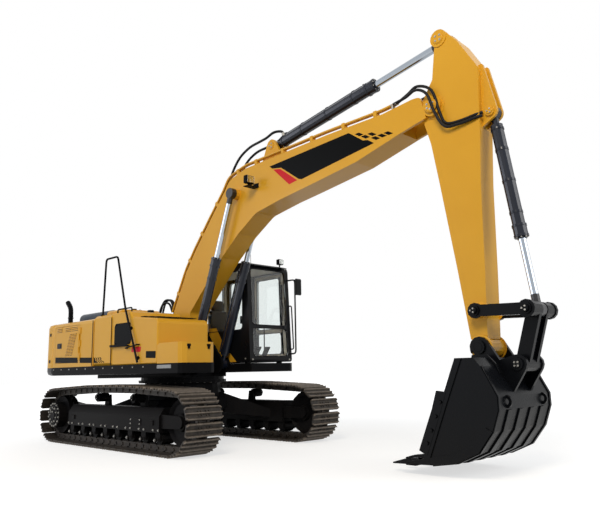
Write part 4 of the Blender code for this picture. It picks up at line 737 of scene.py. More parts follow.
pressing = piece("hood_pressing", hood_pressing(), grey, "hood", edge=0.003)
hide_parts("engine_hood")
grilles = bmesh.new()
for middle in (-0.52, 0.0, 0.52):
    for k in range(11):
        x = -1.80 + 0.075 * k
        slab(grilles, [spot(x, middle - 0.19, 2.2395), spot(x + 0.045, middle - 0.19, 2.2395),
                       spot(x + 0.038, middle - 0.19, 2.252)],
             LEFT * 0.38)
piece("hood_louvres", grilles, grey, "hood")
print("hood: pressing and", 3 * 11, "louvres")

# %% [markdown]
# ## Vents, seams and latches of the housings
# The doors breathe through punched louvres: the sheet is slit and its lip pushed out, so
# each shows a small sloping hood over a dark gap. Here every louvre is a three-sided bar over
# a thin black strip, which is painted shade standing for the dark opening under the lip.
# The rows lean as they do on the machine, and the seams between panels are laid as thin
# strips of dark sealer.

# %% Vents, seams and latches of the housings
FACE = 1.36             # half width of the housings
FILM = 0.0012           # thickness of a vinyl film
ROWS = 15               # of louvres in a door's main vent
ON_DOOR = {"right": "right_door", "left": "left_door"}


def on_side(shape, side, corners, thick=0.002, lift=0.0):
    """A thin plate of corners (x, z) that lies on a side of the housings."""
    out = SIDES[side]
    slab(shape, [spot(x, out.y * (FACE + lift), z) for x, z in corners], out * thick)


def louvre(dark, lips, side, x, z, width, height):
    """One punched louvre: a black strip of painted shade where the gap opens, and the sloping lip over it."""
    out = SIDES[side].y
    # The black strip is painted shade, standing for the dark opening under the lip.
    on_side(dark, side, oblong(x, z - height, x + width, z), 0.001)
    slab(lips, [spot(x - 0.004, out * FACE, z + 0.010), spot(x - 0.004, out * (FACE + 0.009), z - height * 0.5),
                spot(x - 0.004, out * FACE, z - 0.002)], AHEAD * (width + 0.008))


def door_trim(side):
    """The vents and the latch of one side door."""
    dark, lips = bmesh.new(), bmesh.new()
    for row in range(ROWS):
        z = 1.838 - 0.0258 * row
        start = -1.472 - 0.0110 * row
        for k in range(3):
            louvre(dark, lips, side, start + 0.091 * k, z, 0.076, 0.013)
    for row in range(3):
        z = 1.952 - 0.028 * row
        for start, end in ((-1.967, -1.776), (-1.645, -1.179)):
            louvre(dark, lips, side, start, z, (end - start) * 0.47, 0.013)
            louvre(dark, lips, side, start + (end - start) * 0.53, z, (end - start) * 0.47, 0.013)
    plate = rounded(oblong(-1.949, 1.595, -1.775, 1.69), 0.02)
    on_side(dark, side, plate, 0.003)
    on_side(dark, side, rounded(oblong(-1.932, 1.618, -1.80, 1.668), 0.012), 0.009, 0.003)
    # Painted shade of the vents' openings, on one mesh with the real black latch plates.
    piece(side + "_door_vent_shade_and_latch", dark, moulded, ON_DOOR[side])
    piece(side + "_door_louvres", lips, yellow, ON_DOOR[side])
    return ROWS * 3 + 3 * 4


def seams(side):
    """Dark sealer between the panels that don't move, and the bolts along the skirt."""
    shape, bolts = bmesh.new(), bmesh.new()
    out = SIDES[side].y
    ends = (-0.620, 0.0) if side == "right" else (-0.620,)
    for x in ends:
        block(shape, spot(x - 0.003, out * FACE - 0.018, 1.27), spot(x + 0.003, out * FACE - 0.008, 2.02))
    x = -2.05
    while x < (1.25 if side == "right" else -0.5):
        bolt_head(bolts, spot(x, out * (FACE - 0.001), 1.225), SIDES[side], 0.018, 0.008, 0.002)
        x += 0.3
    piece("panel_seams_" + side, shape, rubber, "upper")
    piece("skirt_bolts_" + side, bolts, bolt_steel, "upper")


print("louvres:", [door_trim(side) for side in SIDES])
for side in SIDES:
    seams(side)

# %% [markdown]
# ## Printed bands on the housings
# Vinyl film is cut to shape and pressed on the paint: a black band low on the side, cut off
# on a slant, which breaks up into rows of small slanted squares, and blank plates in red,
# black and grey further forward. The band crosses the door, so each part of it goes with
# its own panel. It stays blank, as every sign here does.

# %% Printed bands on the housings
BAND_BACK, BAND_FRONT = -2.007, -0.46


def band_low(x):
    return 1.350 - 0.0233 * (x - BAND_BACK)


def band_high(x):
    return 1.448 - 0.0299 * (x - BAND_BACK)


def band_part(side, name, start, end, body, slanted=False):
    """The band between two places along the side, its front end cut on a slant."""
    shape = bmesh.new()
    top = end - 0.142 if slanted else end
    on_side(shape, side, ((start, band_low(start)), (end, band_low(end)), (top, band_high(top)),
                          (start, band_high(start))), FILM)
    piece(name + "_" + side, shape, film_black, body)


def slanted_squares(shape, place, rows, columns, size, lean, keep):
    """A chequer of small leaning squares; place turns (u, v) into a point, and keep picks the ones to lay."""
    for row in range(rows):
        for column in range(columns):
            if not keep(row, column):
                continue
            u, v = column * size[0] + lean * row * size[1], row * size[1]
            corners = ((u, v), (u + size[0] * 0.96, v), (u + size[0] * 0.96 + lean * size[1], v + size[1]),
                       (u + lean * size[1], v + size[1]))
            slab(shape, *place(corners))


def side_marks(side):
    band_part(side, "band_on_door", BAND_BACK, -1.135 if side == "right" else -1.015, ON_DOOR[side])
    if side == "left":
        band_part(side, "band_on_housing", -0.93, -0.65, "upper")
        return
    band_part(side, "band_on_housing", -1.068, -0.632, "upper")
    band_part(side, "band_on_tank", -0.575, BAND_FRONT, "upper", slanted=True)
    squares = bmesh.new()
    out = SIDES[side]
    slanted_squares(squares, lambda corners: ([spot(x - 0.452, out.y * FACE, z + 1.314) for x, z in corners],
                                              out * FILM),
                    3, 7, (0.034, 0.0300), -1.54, lambda row, column: (row + column) % 2 == 0 and column < 7 - row % 2)
    piece("squares_on_tank_" + side, squares, film_black, "upper")
    red = bmesh.new()
    on_side(red, side, rounded(((0.60, 1.452), (0.86, 1.445), (0.88, 1.525), (0.62, 1.532)), 0.02), 0.002)
    piece("blank_red_plate", red, film_red, "upper")
    dark = bmesh.new()
    on_side(dark, side, rounded(((1.014, 1.353), (1.275, 1.344), (1.275, 1.445), (1.014, 1.453)), 0.012), 0.002)
    piece("blank_black_plate", dark, film_black, "upper")
    plate = bmesh.new()
    on_side(plate, side, rounded(oblong(1.315, 1.195, 1.67, 1.244), 0.008), 0.002)
    for x in (1.335, 1.65):
        bolt_head(plate, spot(x, -FACE - 0.002, 1.22), RIGHT, 0.010, 0.004, 0.001)
    piece("blank_grey_plate", plate, plate_grey, "upper")


for side in SIDES:
    side_marks(side)
print("side bands laid, all of them blank")

# %% [markdown]
# ## Steps, rails and caps on the right side
# The driver climbs to the engine over a black step tray on the fuel tank's side, with a
# barred tread, and over treads on the tank's sloping nose. A filler cap and a locking
# cover stand on the tanks.

# %% Steps, rails and caps on the right side
def step_tray():
    shape = bmesh.new()
    back = rounded(((0.083, 1.575), (0.555, 1.575), (0.586, 1.62), (0.56, 1.911), (0.12, 1.911), (0.083, 1.87)), 0.03)
    on_side(shape, "right", back, 0.004)
    block(shape, spot(0.01, -FACE - 0.045, 1.545), spot(0.55, -FACE, 1.557), 0.003)
    block(shape, spot(0.01, -FACE - 0.045, 1.557), spot(0.55, -FACE - 0.041, 1.580), 0.001)
    for k in range(11):
        block(shape, spot(0.03 + 0.047 * k, -FACE - 0.040, 1.557), spot(0.052 + 0.047 * k, -FACE - 0.003, 1.565))
    for x, z in ((0.12, 1.60), (0.54, 1.60), (0.14, 1.885), (0.53, 1.885)):
        bolt_head(shape, spot(x, -FACE - 0.004, z), RIGHT, 0.018, 0.008, 0.002)
    return shape


piece("step_tray", step_tray(), black, "upper", edge=0.002)
pipe("tank_grab_bar", [spot(0.487, -FACE + 0.002, 1.515), spot(0.487, -FACE - 0.040, 1.515),
                       spot(0.827, -FACE - 0.040, 1.557),
                       spot(0.827, -FACE + 0.002, 1.557)], 0.011, black, "upper", 0.02)
treads = bmesh.new()
for k in range(3):
    x, z = 0.80 + 0.19 * k, 1.9795 - 0.0157 * k
    block(treads, spot(x - 0.055, -1.30, z - 0.004), spot(x + 0.055, -0.62, z + 0.006), 0.003)
    for row in range(9):
        stick(treads, spot(x, -1.25 + 0.072 * row, z + 0.004), spot(x, -1.25 + 0.072 * row, z + 0.011), 0.016, 10)
piece("nose_treads", treads, black, "upper")

caps = bmesh.new()
stick(caps, spot(0.30, -0.85, 2.079), spot(0.30, -0.85, 2.100), 0.075, 24)
stick(caps, spot(0.30, -0.85, 2.100), spot(0.30, -0.85, 2.140), 0.055, 24, 0.050)
stick(caps, spot(-0.30, -0.80, 2.168), spot(-0.30, -0.80, 2.180), 0.145, 28)
bolt_circle(caps, spot(-0.30, -0.80, 2.180), UP, 0.120, 8, across=0.022)
stick(caps, spot(-0.30, -0.80, 2.180), spot(-0.30, -0.80, 2.215), 0.050, 20, 0.042)
piece("tank_caps", caps, black, "upper", edge=0.002)
feet = bmesh.new()
for x, z in ((0.585, 1.815), (0.80, 1.36)):
    stick(feet, spot(x, -FACE, z), spot(x, -FACE - 0.006, z), 0.030, 16)
    for dx in (-0.04, 0.04):
        bolt_head(feet, spot(x + dx, -FACE, z), RIGHT, 0.014, 0.007, 0.002)
bolt_circle(feet, spot(-0.43, -1.30, 2.095), UP, 0.024, 4, across=0.010, height=0.005, washer=0.001)
piece("handrail_feet", feet, black, "upper")
pipe("top_grab_bar", [spot(0.057, -1.30, 2.075), spot(0.057, -1.30, 2.145), spot(0.484, -1.30, 2.145),
                      spot(0.484, -1.30, 2.075)],
     0.012, black, "upper", 0.04)
box_trim = bmesh.new()
for y in (-1.24, -0.90):
    block(box_trim, spot(1.9185, y - 0.03, 1.49), spot(1.926, y + 0.03, 1.525), 0.002)
    block(box_trim, spot(1.9185, y - 0.018, 1.455), spot(1.930, y + 0.018, 1.50), 0.003)
piece("tool_box_latches", box_trim, black, "upper")
print("step tray, grab bars, caps and latches")

# %% [markdown]
# ## Exhaust, lifting eyes and counterweight
# The exhaust leaves the silencer through a flange and bends backwards above the hood. The
# casting at the tail is hung from two lifting eyes and is bolted up from below; its sides
# are sealed with round rubber plugs over the bolts, and reflectors sit in its back.

# %% Exhaust, lifting eyes and counterweight
exhaust = bmesh.new()
low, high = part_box("exhaust_pipe")
middle = Vector((low[0] + 0.169, (low[1] + high[1]) / 2, 2.050))
stick(exhaust, middle, middle + UP * 0.010, 0.080, 20)
bolt_circle(exhaust, middle + UP * 0.010, UP, 0.066, 4, across=0.014, height=0.007, washer=0.002)
stick(exhaust, middle + UP * 0.11, middle + UP * 0.128, 0.0505, 24)
piece("exhaust_flange", exhaust, black, "upper", edge=0.001)

tail = bmesh.new()
for y in (-0.62, 0.62):
    block(tail, spot(-2.43, y - 0.018, 2.046), spot(-2.27, y + 0.018, 2.075), 0.002)
    eye = [spot(-2.35 + 0.075 * cos(pi * k / 10), y - 0.018, 2.062 + 0.085 * sin(pi * k / 10)) for k in range(11)]
    hole = [spot(-2.35 + 0.036 * cos(pi * k / 10), y - 0.018, 2.070 + 0.042 * sin(pi * k / 10)) for k in range(11)]
    slab(tail, [*eye, *reversed(hole)], LEFT * 0.036)
piece("counterweight_lifting_eyes", tail, yellow, "upper", edge=0.002)
plugs = bmesh.new()
for side in SIDES.values():
    for z in (1.38, 1.86):
        stick(plugs, spot(-2.24, side.y * (FACE - 0.002), z), spot(-2.24, side.y * (FACE + 0.004), z), 0.035, 20, 0.031)
piece("counterweight_plugs", plugs, rubber, "upper")
reflectors = bmesh.new()
for y in (-0.95, 0.95):
    turn = atan2(y, sqrt(2.75 ** 2 - y ** 2))
    out = Vector((-cos(turn), sin(turn), 0))
    across = Vector((sin(turn), cos(turn), 0))
    at = spot(0, 0, 1.42) + out * 2.7485
    corners = [at + across * u + UP * v for u, v in rounded(oblong(-0.10, -0.03, 0.10, 0.03), 0.012)]
    slab(reflectors, [c - out * 0.020 for c in corners], out * 0.0208)
piece("tail_reflectors", reflectors, film_red, "upper")
print("exhaust and tail trimmed")

# %% [markdown]
# ## Marks on the boom
# Each side of the boom carries a long black field with slanted ends, left blank, a red bar
# along its lower edge at the back, and a few slanted squares in front of it. They are thin
# plates of film on the side plates, one millimetre proud of the paint.

# %% Marks on the boom
BOOM_HALF, ARM_HALF = 0.19, 0.144     # half widths


def on_boom(shape, side, corners):
    out = SIDES[side]
    slab(shape, [spot(x, out.y * BOOM_HALF, z) for x, z in corners], out * FILM)


FIELD = ((2.471, 4.179), (2.534, 4.130), (2.725, 4.098), (3.085, 3.842), (3.146, 3.823), (4.471, 4.001), (4.366, 4.072),
         (4.290, 4.086),
         (4.050, 4.258))
BAR = ((2.550, 4.112), (2.706, 4.084), (3.058, 3.830), (2.890, 3.803))
SQUARES = ((4.230, 4.187), (4.335, 4.125), (4.445, 4.129), (4.500, 4.060), (4.605, 4.064),
           (4.705, 4.068))     # their middles


def boom_marks(side):
    field, bar, squares = bmesh.new(), bmesh.new(), bmesh.new()
    on_boom(field, side, FIELD)
    on_boom(bar, side, BAR)
    along, lean = Vector((0.036, 0.002)), Vector((0.040, -0.025))
    for middle in SQUARES:
        on_boom(squares, side, [Vector(middle) + u * along + v * lean for u, v in oblong(-1, -1, 1, 1)])
    piece("boom_field_" + side, field, film_black, "boom")
    piece("boom_bar_" + side, bar, film_red, "boom")
    piece("boom_squares_" + side, squares, film_black, "boom")


for side in SIDES:
    boom_marks(side)
print("boom marks on both sides")

# %% [markdown]
# ## Pins, caps and bosses
# Every joint of the boom, arm and bucket turns on a hardened pin. Its end is held by a
# cap plate, in most places a bolted one. Rings of weld join the arm's lower bosses to its
# side plates. The caps all come from one table of places.

# %% Pins, caps and bosses
PINS = (
    # name, x, z, half width, radius, thickness of the cap, body, bolts, finish of the boss
    ("boom_head", 5.354, 4.224, 0.210, 0.085, 0.012, "boom", 6, yellow),
    ("boom_cylinder", 1.700, 3.900, 0.2625, 0.055, 0.004, "boom", 0, black),
    ("arm_top", 5.480, 5.067, 0.156, 0.075, 0.012, "arm", 4, yellow),
    ("side_link", 5.798, 1.720, 0.316, 0.040, 0.012, "side_links", 3, blueblack),
    ("link_eye", 6.380, 1.700, 0.316, 0.040, 0.012, "side_links", 3, blueblack),
    ("arm_end", 5.785, 1.331, 0.2285, 0.055, 0.003, "bucket", 0, blueblack),
    ("bucket_link", 6.210, 1.144, 0.230, 0.045, 0.012, "bucket", 4, blueblack),
    ("bucket_cylinder_foot", 6.050, 3.970, 0.1050, 0.040, 0.012, "arm", 3, yellow),
    ("arm_cylinder_foot", 2.405, 4.553, 0.0903, 0.060, 0.012, "boom", 3, yellow),
)


def pin_caps(name, x, z, half, radius, thick, body, bolts, finish):
    shape, heads = bmesh.new(), bmesh.new()
    for out in SIDES.values():
        face = spot(x, out.y * half, z)
        stick(shape, face - out * 0.004, face + out * thick, radius * 0.86, 24)
        stick(shape, face - out * 0.004, face + out * thick * 0.5, radius, 24)
        if bolts:
            bolt_circle(heads, face + out * thick, out, radius * 0.56, bolts, across=min(0.020, radius * 0.34),
                        height=0.008, washer=0.002)
    piece(name + "_pin_caps", shape, finish, body, edge=0.001)
    if bolts:
        piece(name + "_pin_bolts", heads, bolt_steel, body)
    else:
        heads.free()


for row in PINS:
    pin_caps(*row)
weld = bmesh.new()
for side, out in SIDES.items():
    for x, z, radius, half in ((5.785, 1.331, 0.118, 0.1635), (5.798, 1.720, 0.095, ARM_HALF)):
        at = spot(x, out.y * half, z)
        stick(weld, at - out * 0.003, at + out * 0.006, radius + 0.016, 28, radius)
piece("arm_boss_welds", weld, yellow, "arm")
print(len(PINS), "pins capped")

# %% [markdown]
# ## Cylinder fittings
# A hydraulic cylinder is a honed tube with a bolted gland at its mouth. Oil reaches the far
# end through a steel line clamped along the barrel. The gland's ring of cap screws, the
# bands, the line and the wiper seal are added to each barrel, in the barrel's own direction.

# %% Cylinder fittings
CYLINDERS = (
    # name, body, ends, offsets to the side, barrel radius, barrel length, rod radius, side of the line
    ("boom", "boom_barrels", BOOM_LINE, (-0.3075, 0.3075), 0.0725, 1.76, 0.0425, (-0.6, 0.8)),
    ("arm", "arm_barrel", ARM_LINE, (0.0,), 0.085, 2.02, 0.0475, (0.0, 1.0)),
    ("bucket", "bucket_barrel", BUCKET_LINE, (0.0,), 0.070, 1.50, 0.040, (1.0, 0.0)),
)


def cylinder_fittings(name, body, ends, offsets, radius, length, rod_radius, where):
    for number, y in enumerate(offsets):
        foot, eye = (end + LEFT * y for end in ends)
        along = (eye - foot).normalized()
        away = Vector((-along.z, 0, along.x))
        label = name + "_" + ("cylinder", "second_cylinder")[number]
        outward = (away * where[1] + LEFT * (where[0] if y >= 0 else -where[0])).normalized()
        shape, heads = bmesh.new(), bmesh.new()
        mouth = foot + along * length
        collar(shape, mouth - along * 0.145, mouth - along * 0.118, radius + 0.0105, radius + 0.002)
        collar(shape, mouth - along * 0.030, mouth - along * 0.002, radius + 0.0105, radius + 0.002)
        collar(shape, mouth - along * 0.002, mouth + along * 0.014, rod_radius + 0.012, rod_radius + 0.003)
        collar(shape, foot + along * 0.20, foot + along * 0.225, radius + 0.006, radius - 0.002)
        bolt_circle(heads, mouth - along * 0.002, along, (radius + rod_radius) / 2 + 0.008, 8, across=0.018,
                    height=0.010, washer=0.001)
        for share in (0.30, 0.55, 0.80):
            at = foot + along * length * share
            collar(shape, at, at + along * 0.030, radius + 0.004, radius - 0.002)
            clamp = at + along * 0.015 + outward * (radius + 0.014)
            stick(shape, clamp - along * 0.020, clamp + along * 0.020, 0.021, 12)
        for share in (0.115, 0.905):
            at = foot + along * length * share
            stick(shape, at + outward * (radius - 0.010), at + outward * (radius + 0.026), 0.022, 12)
        piece(label + "_gland", shape, barrel_enamel, body, edge=0.001)
        piece(label + "_gland_screws", heads, bolt_steel, body)
        line = [foot + along * length * 0.115 + outward * radius * 0.9,
                foot + along * length * 0.135 + outward * (radius + 0.016),
                foot + along * length * 0.885 + outward * (radius + 0.016),
                foot + along * length * 0.905 + outward * radius * 0.9]
        pipe(label + "_line", line, 0.014, barrel_enamel, body, 0.03)


for row in CYLINDERS:
    cylinder_fittings(*row)
print("glands, bands and lines on", sum(len(row[3]) for row in CYLINDERS), "cylinders")

# %% [markdown]
# ## Steel lines and hoses
# Oil is led along the boom in steel lines held by clamp blocks, and only where something
# moves does a rubber hose take over, at the boom's foot, at the arm cylinder and at the
# boom's head. Each hose runs in a bow across a joint, with one end on either body. These
# hoses are swept as meshes, and the steel lines stay curves.

# %% Steel lines and hoses
def bow(points, count=26):
    """A smooth curve through a few points, as a bent hose takes it."""
    knots = [Vector(p) for p in points]
    knots = [2 * knots[0] - knots[1], *knots, 2 * knots[-1] - knots[-2]]
    spans, route = len(knots) - 3, []
    for k in range(count + 1):
        s = min(k / count * spans, spans - 1e-6)
        i, t = int(s), s - int(s)
        a, b, c, d = knots[i:i + 4]
        bend = (2 * a - 5 * b + 4 * c - d) * t ** 2
        twist = (3 * b - a - 3 * c + d) * t ** 3
        route.append(0.5 * (2 * b + (c - a) * t + bend + twist))
    return route


CLAMPS = bmesh.new()


def clamp_at(x, z, lean, ys):
    """A clamp block over lines at several offsets; lean is the slope of the plate below."""
    along = Vector((cos(lean), 0, sin(lean)))
    up = Vector((-sin(lean), 0, cos(lean)))
    for y in ys:
        at = spot(x, y, z)
        corners = [at + along * u + LEFT * v for u, v in oblong(-0.025, -0.018, 0.025, 0.018)]
        slab(CLAMPS, [c - up * 0.002 for c in corners], up * 0.086)
        bolt_head(CLAMPS, at + up * 0.084, up, 0.012, 0.006, 0.002)


# Two lines on each side run from the boom's foot to its head, and a third feeds the arm cylinder
LONG_LINES = (-0.172, -0.135, 0.135, 0.172)
SHORT_LINES = (-0.095, 0.095)
LINE_RADIUS, HOSE_RADIUS, FEED_RADIUS = 0.016, 0.018, 0.020
UP_THE_BACK = ((-0.090, 2.180), (0.289, 2.866), (0.539, 3.188), (0.961, 3.660), (1.340, 4.067))
OVER_THE_TOP = ((1.462, 4.246), (1.883, 4.350), (3.620, 4.406), (4.600, 4.411), (4.800, 4.432))
for number, y in enumerate(LONG_LINES):
    pipe("boom_line_%d" % (number + 1), [spot(x, y, z) for x, z in UP_THE_BACK + OVER_THE_TOP], LINE_RADIUS, yellow,
         "boom", 0.10)
for number, y in enumerate(SHORT_LINES):
    pipe("short_boom_line_%d" % (number + 1), [spot(x, y, z) for x, z in UP_THE_BACK], LINE_RADIUS, yellow, "boom",
         0.10)
for x, z, lean in ((0.14, 2.458, 1.080), (0.46, 2.984, 0.912), (0.80, 3.393, 0.840), (1.20, 3.825, 0.821)):
    clamp_at(x, z, lean, LONG_LINES + SHORT_LINES)
for x, z, lean in ((1.72, 4.239, 0.240), (2.15, 4.292, 0.034), (2.75, 4.312, 0.034), (3.35, 4.332, 0.034),
                   (3.95, 4.344, 0.003), (4.50, 4.346, 0.003)):
    clamp_at(x, z, lean, LONG_LINES)
piece("boom_line_clamps", CLAMPS, yellow, "boom", edge=0.001)


def swept(route, radius, sides=12):
    """A tube as a mesh: a ring of points at each place of the route, bridged one to the next."""
    shape = bmesh.new()
    across, rings = Vector((0, 1, 0)), []
    for k, at in enumerate(route):
        along = (route[min(k + 1, len(route) - 1)] - route[max(k - 1, 0)]).normalized()
        across = (across - along * across.dot(along)).normalized()
        up = along.cross(across)
        circle = [radius * (cos(a) * across + sin(a) * up) for a in (2 * pi * j / sides for j in range(sides))]
        rings.append([shape.verts.new(at + step) for step in circle])
    for here, there in zip(rings, rings[1:]):
        for j in range(sides):
            shape.faces.new((here[j], here[(j + 1) % sides], there[(j + 1) % sides], there[j]))
    shape.faces.new(rings[0])
    shape.faces.new(rings[-1])
    return shape


# Two hoses feed the arm cylinder, whose barrel turns on the boom
fittings = bmesh.new()
for number, (y, drop) in enumerate(((-0.095, 0.0), (0.095, 0.045))):
    route = bow([spot(1.335, y, 4.062), spot(1.400, y, 4.200), spot(1.478, y * 0.9, 4.375 - drop),
                 spot(1.640, y * 0.8, 4.560 - drop),
                 spot(1.880, y * 0.8, 4.665 - drop), spot(2.130, y * 0.9, 4.690 - drop), spot(2.330, y * 1.25, 4.690),
                 spot(2.480, y * 1.1, 4.740),
                 spot(2.600, y * 0.6, 4.735), spot(2.645, y * 0.5, 4.676)], 40)
    feed = piece("arm_cylinder_hose_%d" % (number + 1), swept(route, FEED_RADIUS), rubber, None)
    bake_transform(feed)
    stick(fittings, spot(2.640, y * 0.5, 4.655), spot(2.632, y * 0.5, 4.705), 0.026, 12)
piece("arm_cylinder_hose_fittings", fittings, bolt_steel, "arm_barrel", edge=0.001)

# From the boom's head to the arm: these cross the arm's joint
for number, y in enumerate(LONG_LINES):
    side_y, rise = (0.235, 0.0) if abs(y) > 0.15 else (0.196, 0.045)
    side_y = side_y if y > 0 else -side_y
    route = bow([spot(4.790, y, 4.431), spot(4.980, y, 4.462 + rise), spot(5.170, side_y * 0.95, 4.480 + rise * 1.3),
                 spot(5.330 + rise, side_y, 4.370 + rise),
                 spot(5.420 + rise, side_y, 4.120), spot(5.530, side_y * 0.88, 3.915 + rise),
                 spot(5.700, side_y * 0.78, 3.895 + rise),
                 spot(5.900, side_y * 0.70, 3.915 + rise), spot(5.975, side_y * 0.55, 3.930 + rise)], 40)
    crossing = piece("arm_hose_%d" % (number + 1), swept(route, HOSE_RADIUS), rubber, None)
    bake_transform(crossing)
couplings = bmesh.new()
for y in LONG_LINES:
    stick(couplings, spot(4.745, y, 4.426), spot(4.835, y, 4.436), 0.0175, 6)
    stick(couplings, spot(4.775, y, 4.355), spot(4.775, y, 4.430), 0.014, 8)
piece("boom_head_couplings", couplings, bolt_steel, "boom")
print("lines and hoses laid")

# %% [markdown]
# ## The bucket's fittings
# A digging bucket is a welded shell. Hardened parts take the wear: tooth tips pinned to
# adapters on the lip, side cutters bolted along its edges, straps under its round back and a
# strip round each side. Two lifting eyes stand on its back. All of them are thick plates.

# %% The bucket's fittings
BUCKET_HALF = 0.60
BACK_LINE = ((5.376, 0.118), (5.68, 0.165), (5.93, 0.28), (6.09, 0.49), (6.165, 0.70), (6.163, 0.83), (6.004, 1.13))


def strap(shape, low_y, high_y, thick, points=BACK_LINE):
    """A plate bent along the bucket's back, standing off it by its thickness."""
    path = [Vector((x, z)) for x, z in points]
    outer = []
    for k, at in enumerate(path):
        ways = [(b - a).normalized() for a, b in zip(path[max(k - 1, 0):k + 1], path[max(k - 1, 0) + 1:k + 2])]
        way = sum(ways, Vector((0, 0))).normalized()
        outer.append(at + Vector((way.y, -way.x)) * thick)
    outline = [*path, *reversed(outer)]
    slab(shape, [spot(p.x, low_y, p.y) for p in outline], LEFT * (high_y - low_y))


def bucket_wear():
    straps, edges = bmesh.new(), bmesh.new()
    for y in (-0.36, -0.12, 0.12, 0.36):
        strap(straps, y - 0.045, y + 0.045, 0.016, BACK_LINE[:5])
    for y in (-0.592, 0.552):
        strap(straps, y, y + 0.040, 0.012)
    for out in SIDES.values():
        face = out.y * BUCKET_HALF
        lip = [(5.722, 1.216), (5.50, 0.70), (5.273, 0.175), (5.355, 0.175), (5.575, 0.70), (5.80, 1.216)]
        slab(edges, [spot(x, face, z) for x, z in lip], out * 0.014)
        cutter = [(5.600, 0.870), (5.520, 0.660), (5.330, 0.215), (5.232, 0.262), (5.415, 0.690), (5.480, 0.885)]
        slab(edges, [spot(x, face - out.y * 0.030, z) for x, z in cutter], out * 0.048)
        corner = [(5.273, 0.175), (5.05, 0.135), (5.376, 0.118), (5.68, 0.165), (5.93, 0.28), (6.09, 0.49),
                  (6.02, 0.53),
                  (5.88, 0.355), (5.66, 0.245), (5.45, 0.215)]
        slab(edges, [spot(x, face, z) for x, z in corner], out * 0.012)
        for share in (0.12, 0.38, 0.64, 0.88):
            x, z = 5.560 - 0.245 * share, 0.835 - 0.560 * share
            bolt_head(edges, spot(x, face + out.y * 0.014, z), out, 0.034, 0.018, 0.004)
    piece("bucket_straps", straps, blueblack, "bucket", edge=0.003)
    piece("bucket_edges_and_cutters", edges, blueblack, "bucket", edge=0.002)


bucket_wear()
adapters = bmesh.new()
for k in range(5):
    y = -BUCKET_HALF + 0.12 + (2 * BUCKET_HALF - 0.24) * k / 4
    cheek = ((5.30, 0.176), (5.10, 0.168), (4.985, 0.150), (4.985, 0.165), (5.09, 0.196), (5.27, 0.222), (5.33, 0.205))
    slab(adapters, [spot(x, y - 0.042, z) for x, z in cheek], LEFT * 0.084)
    stick(adapters, spot(5.045, y - 0.066, 0.130), spot(5.045, y + 0.066, 0.130), 0.014, 12)
    block(adapters, spot(4.99, y - 0.050, 0.083), spot(5.12, y + 0.050, 0.105), 0.004)
piece("tooth_adapters", adapters, blueblack, "bucket", edge=0.002)

eyes = bmesh.new()
for y in (-0.40, 0.40):
    loop = [spot(6.155 + r * sin(pi * k / 8), y - 0.014, 0.775 + r * cos(pi * k / 8)) for r,
            order in ((0.066, 1), (0.034, -1))
            for k in range(9)[::order]]
    slab(eyes, loop, LEFT * 0.028)
for y in (-0.30, 0.30):
    rib = [(5.74, 1.214), (5.90, 1.214), (6.004, 1.13), (6.050, 1.045), (6.058, 1.060), (6.02, 1.155), (5.93, 1.250),
           (5.75, 1.250)]
    slab(eyes, [spot(x, y - 0.010, z) for x, z in rib], LEFT * 0.020)
piece("bucket_eyes_and_ribs", eyes, blueblack, "bucket", edge=0.002)
link_web = bmesh.new()
for share in (0.36, 0.70):
    at = spot(6.21 + 0.17 * share, 0, 1.144 + 0.556 * share)
    stick(link_web, at - LEFT * 0.060, at + LEFT * 0.060, 0.032, 20)
piece("bucket_link_webs", link_web, blueblack, "bucket_link", edge=0.002)
print("bucket: wear parts, adapters, eyes")

# %% [markdown]
# ## Undercarriage details
# The final drive ends in a cover with a ring of cap screws. Each bottom roller turns on an
# axle with an end cap and two bolts over it, and the carrier rollers and the idler have hub
# caps. The side frame has a bolted inspection cover and two small pads.

# %% Undercarriage details
ROLLERS, ROLLER_SPAN = 8, 2.62


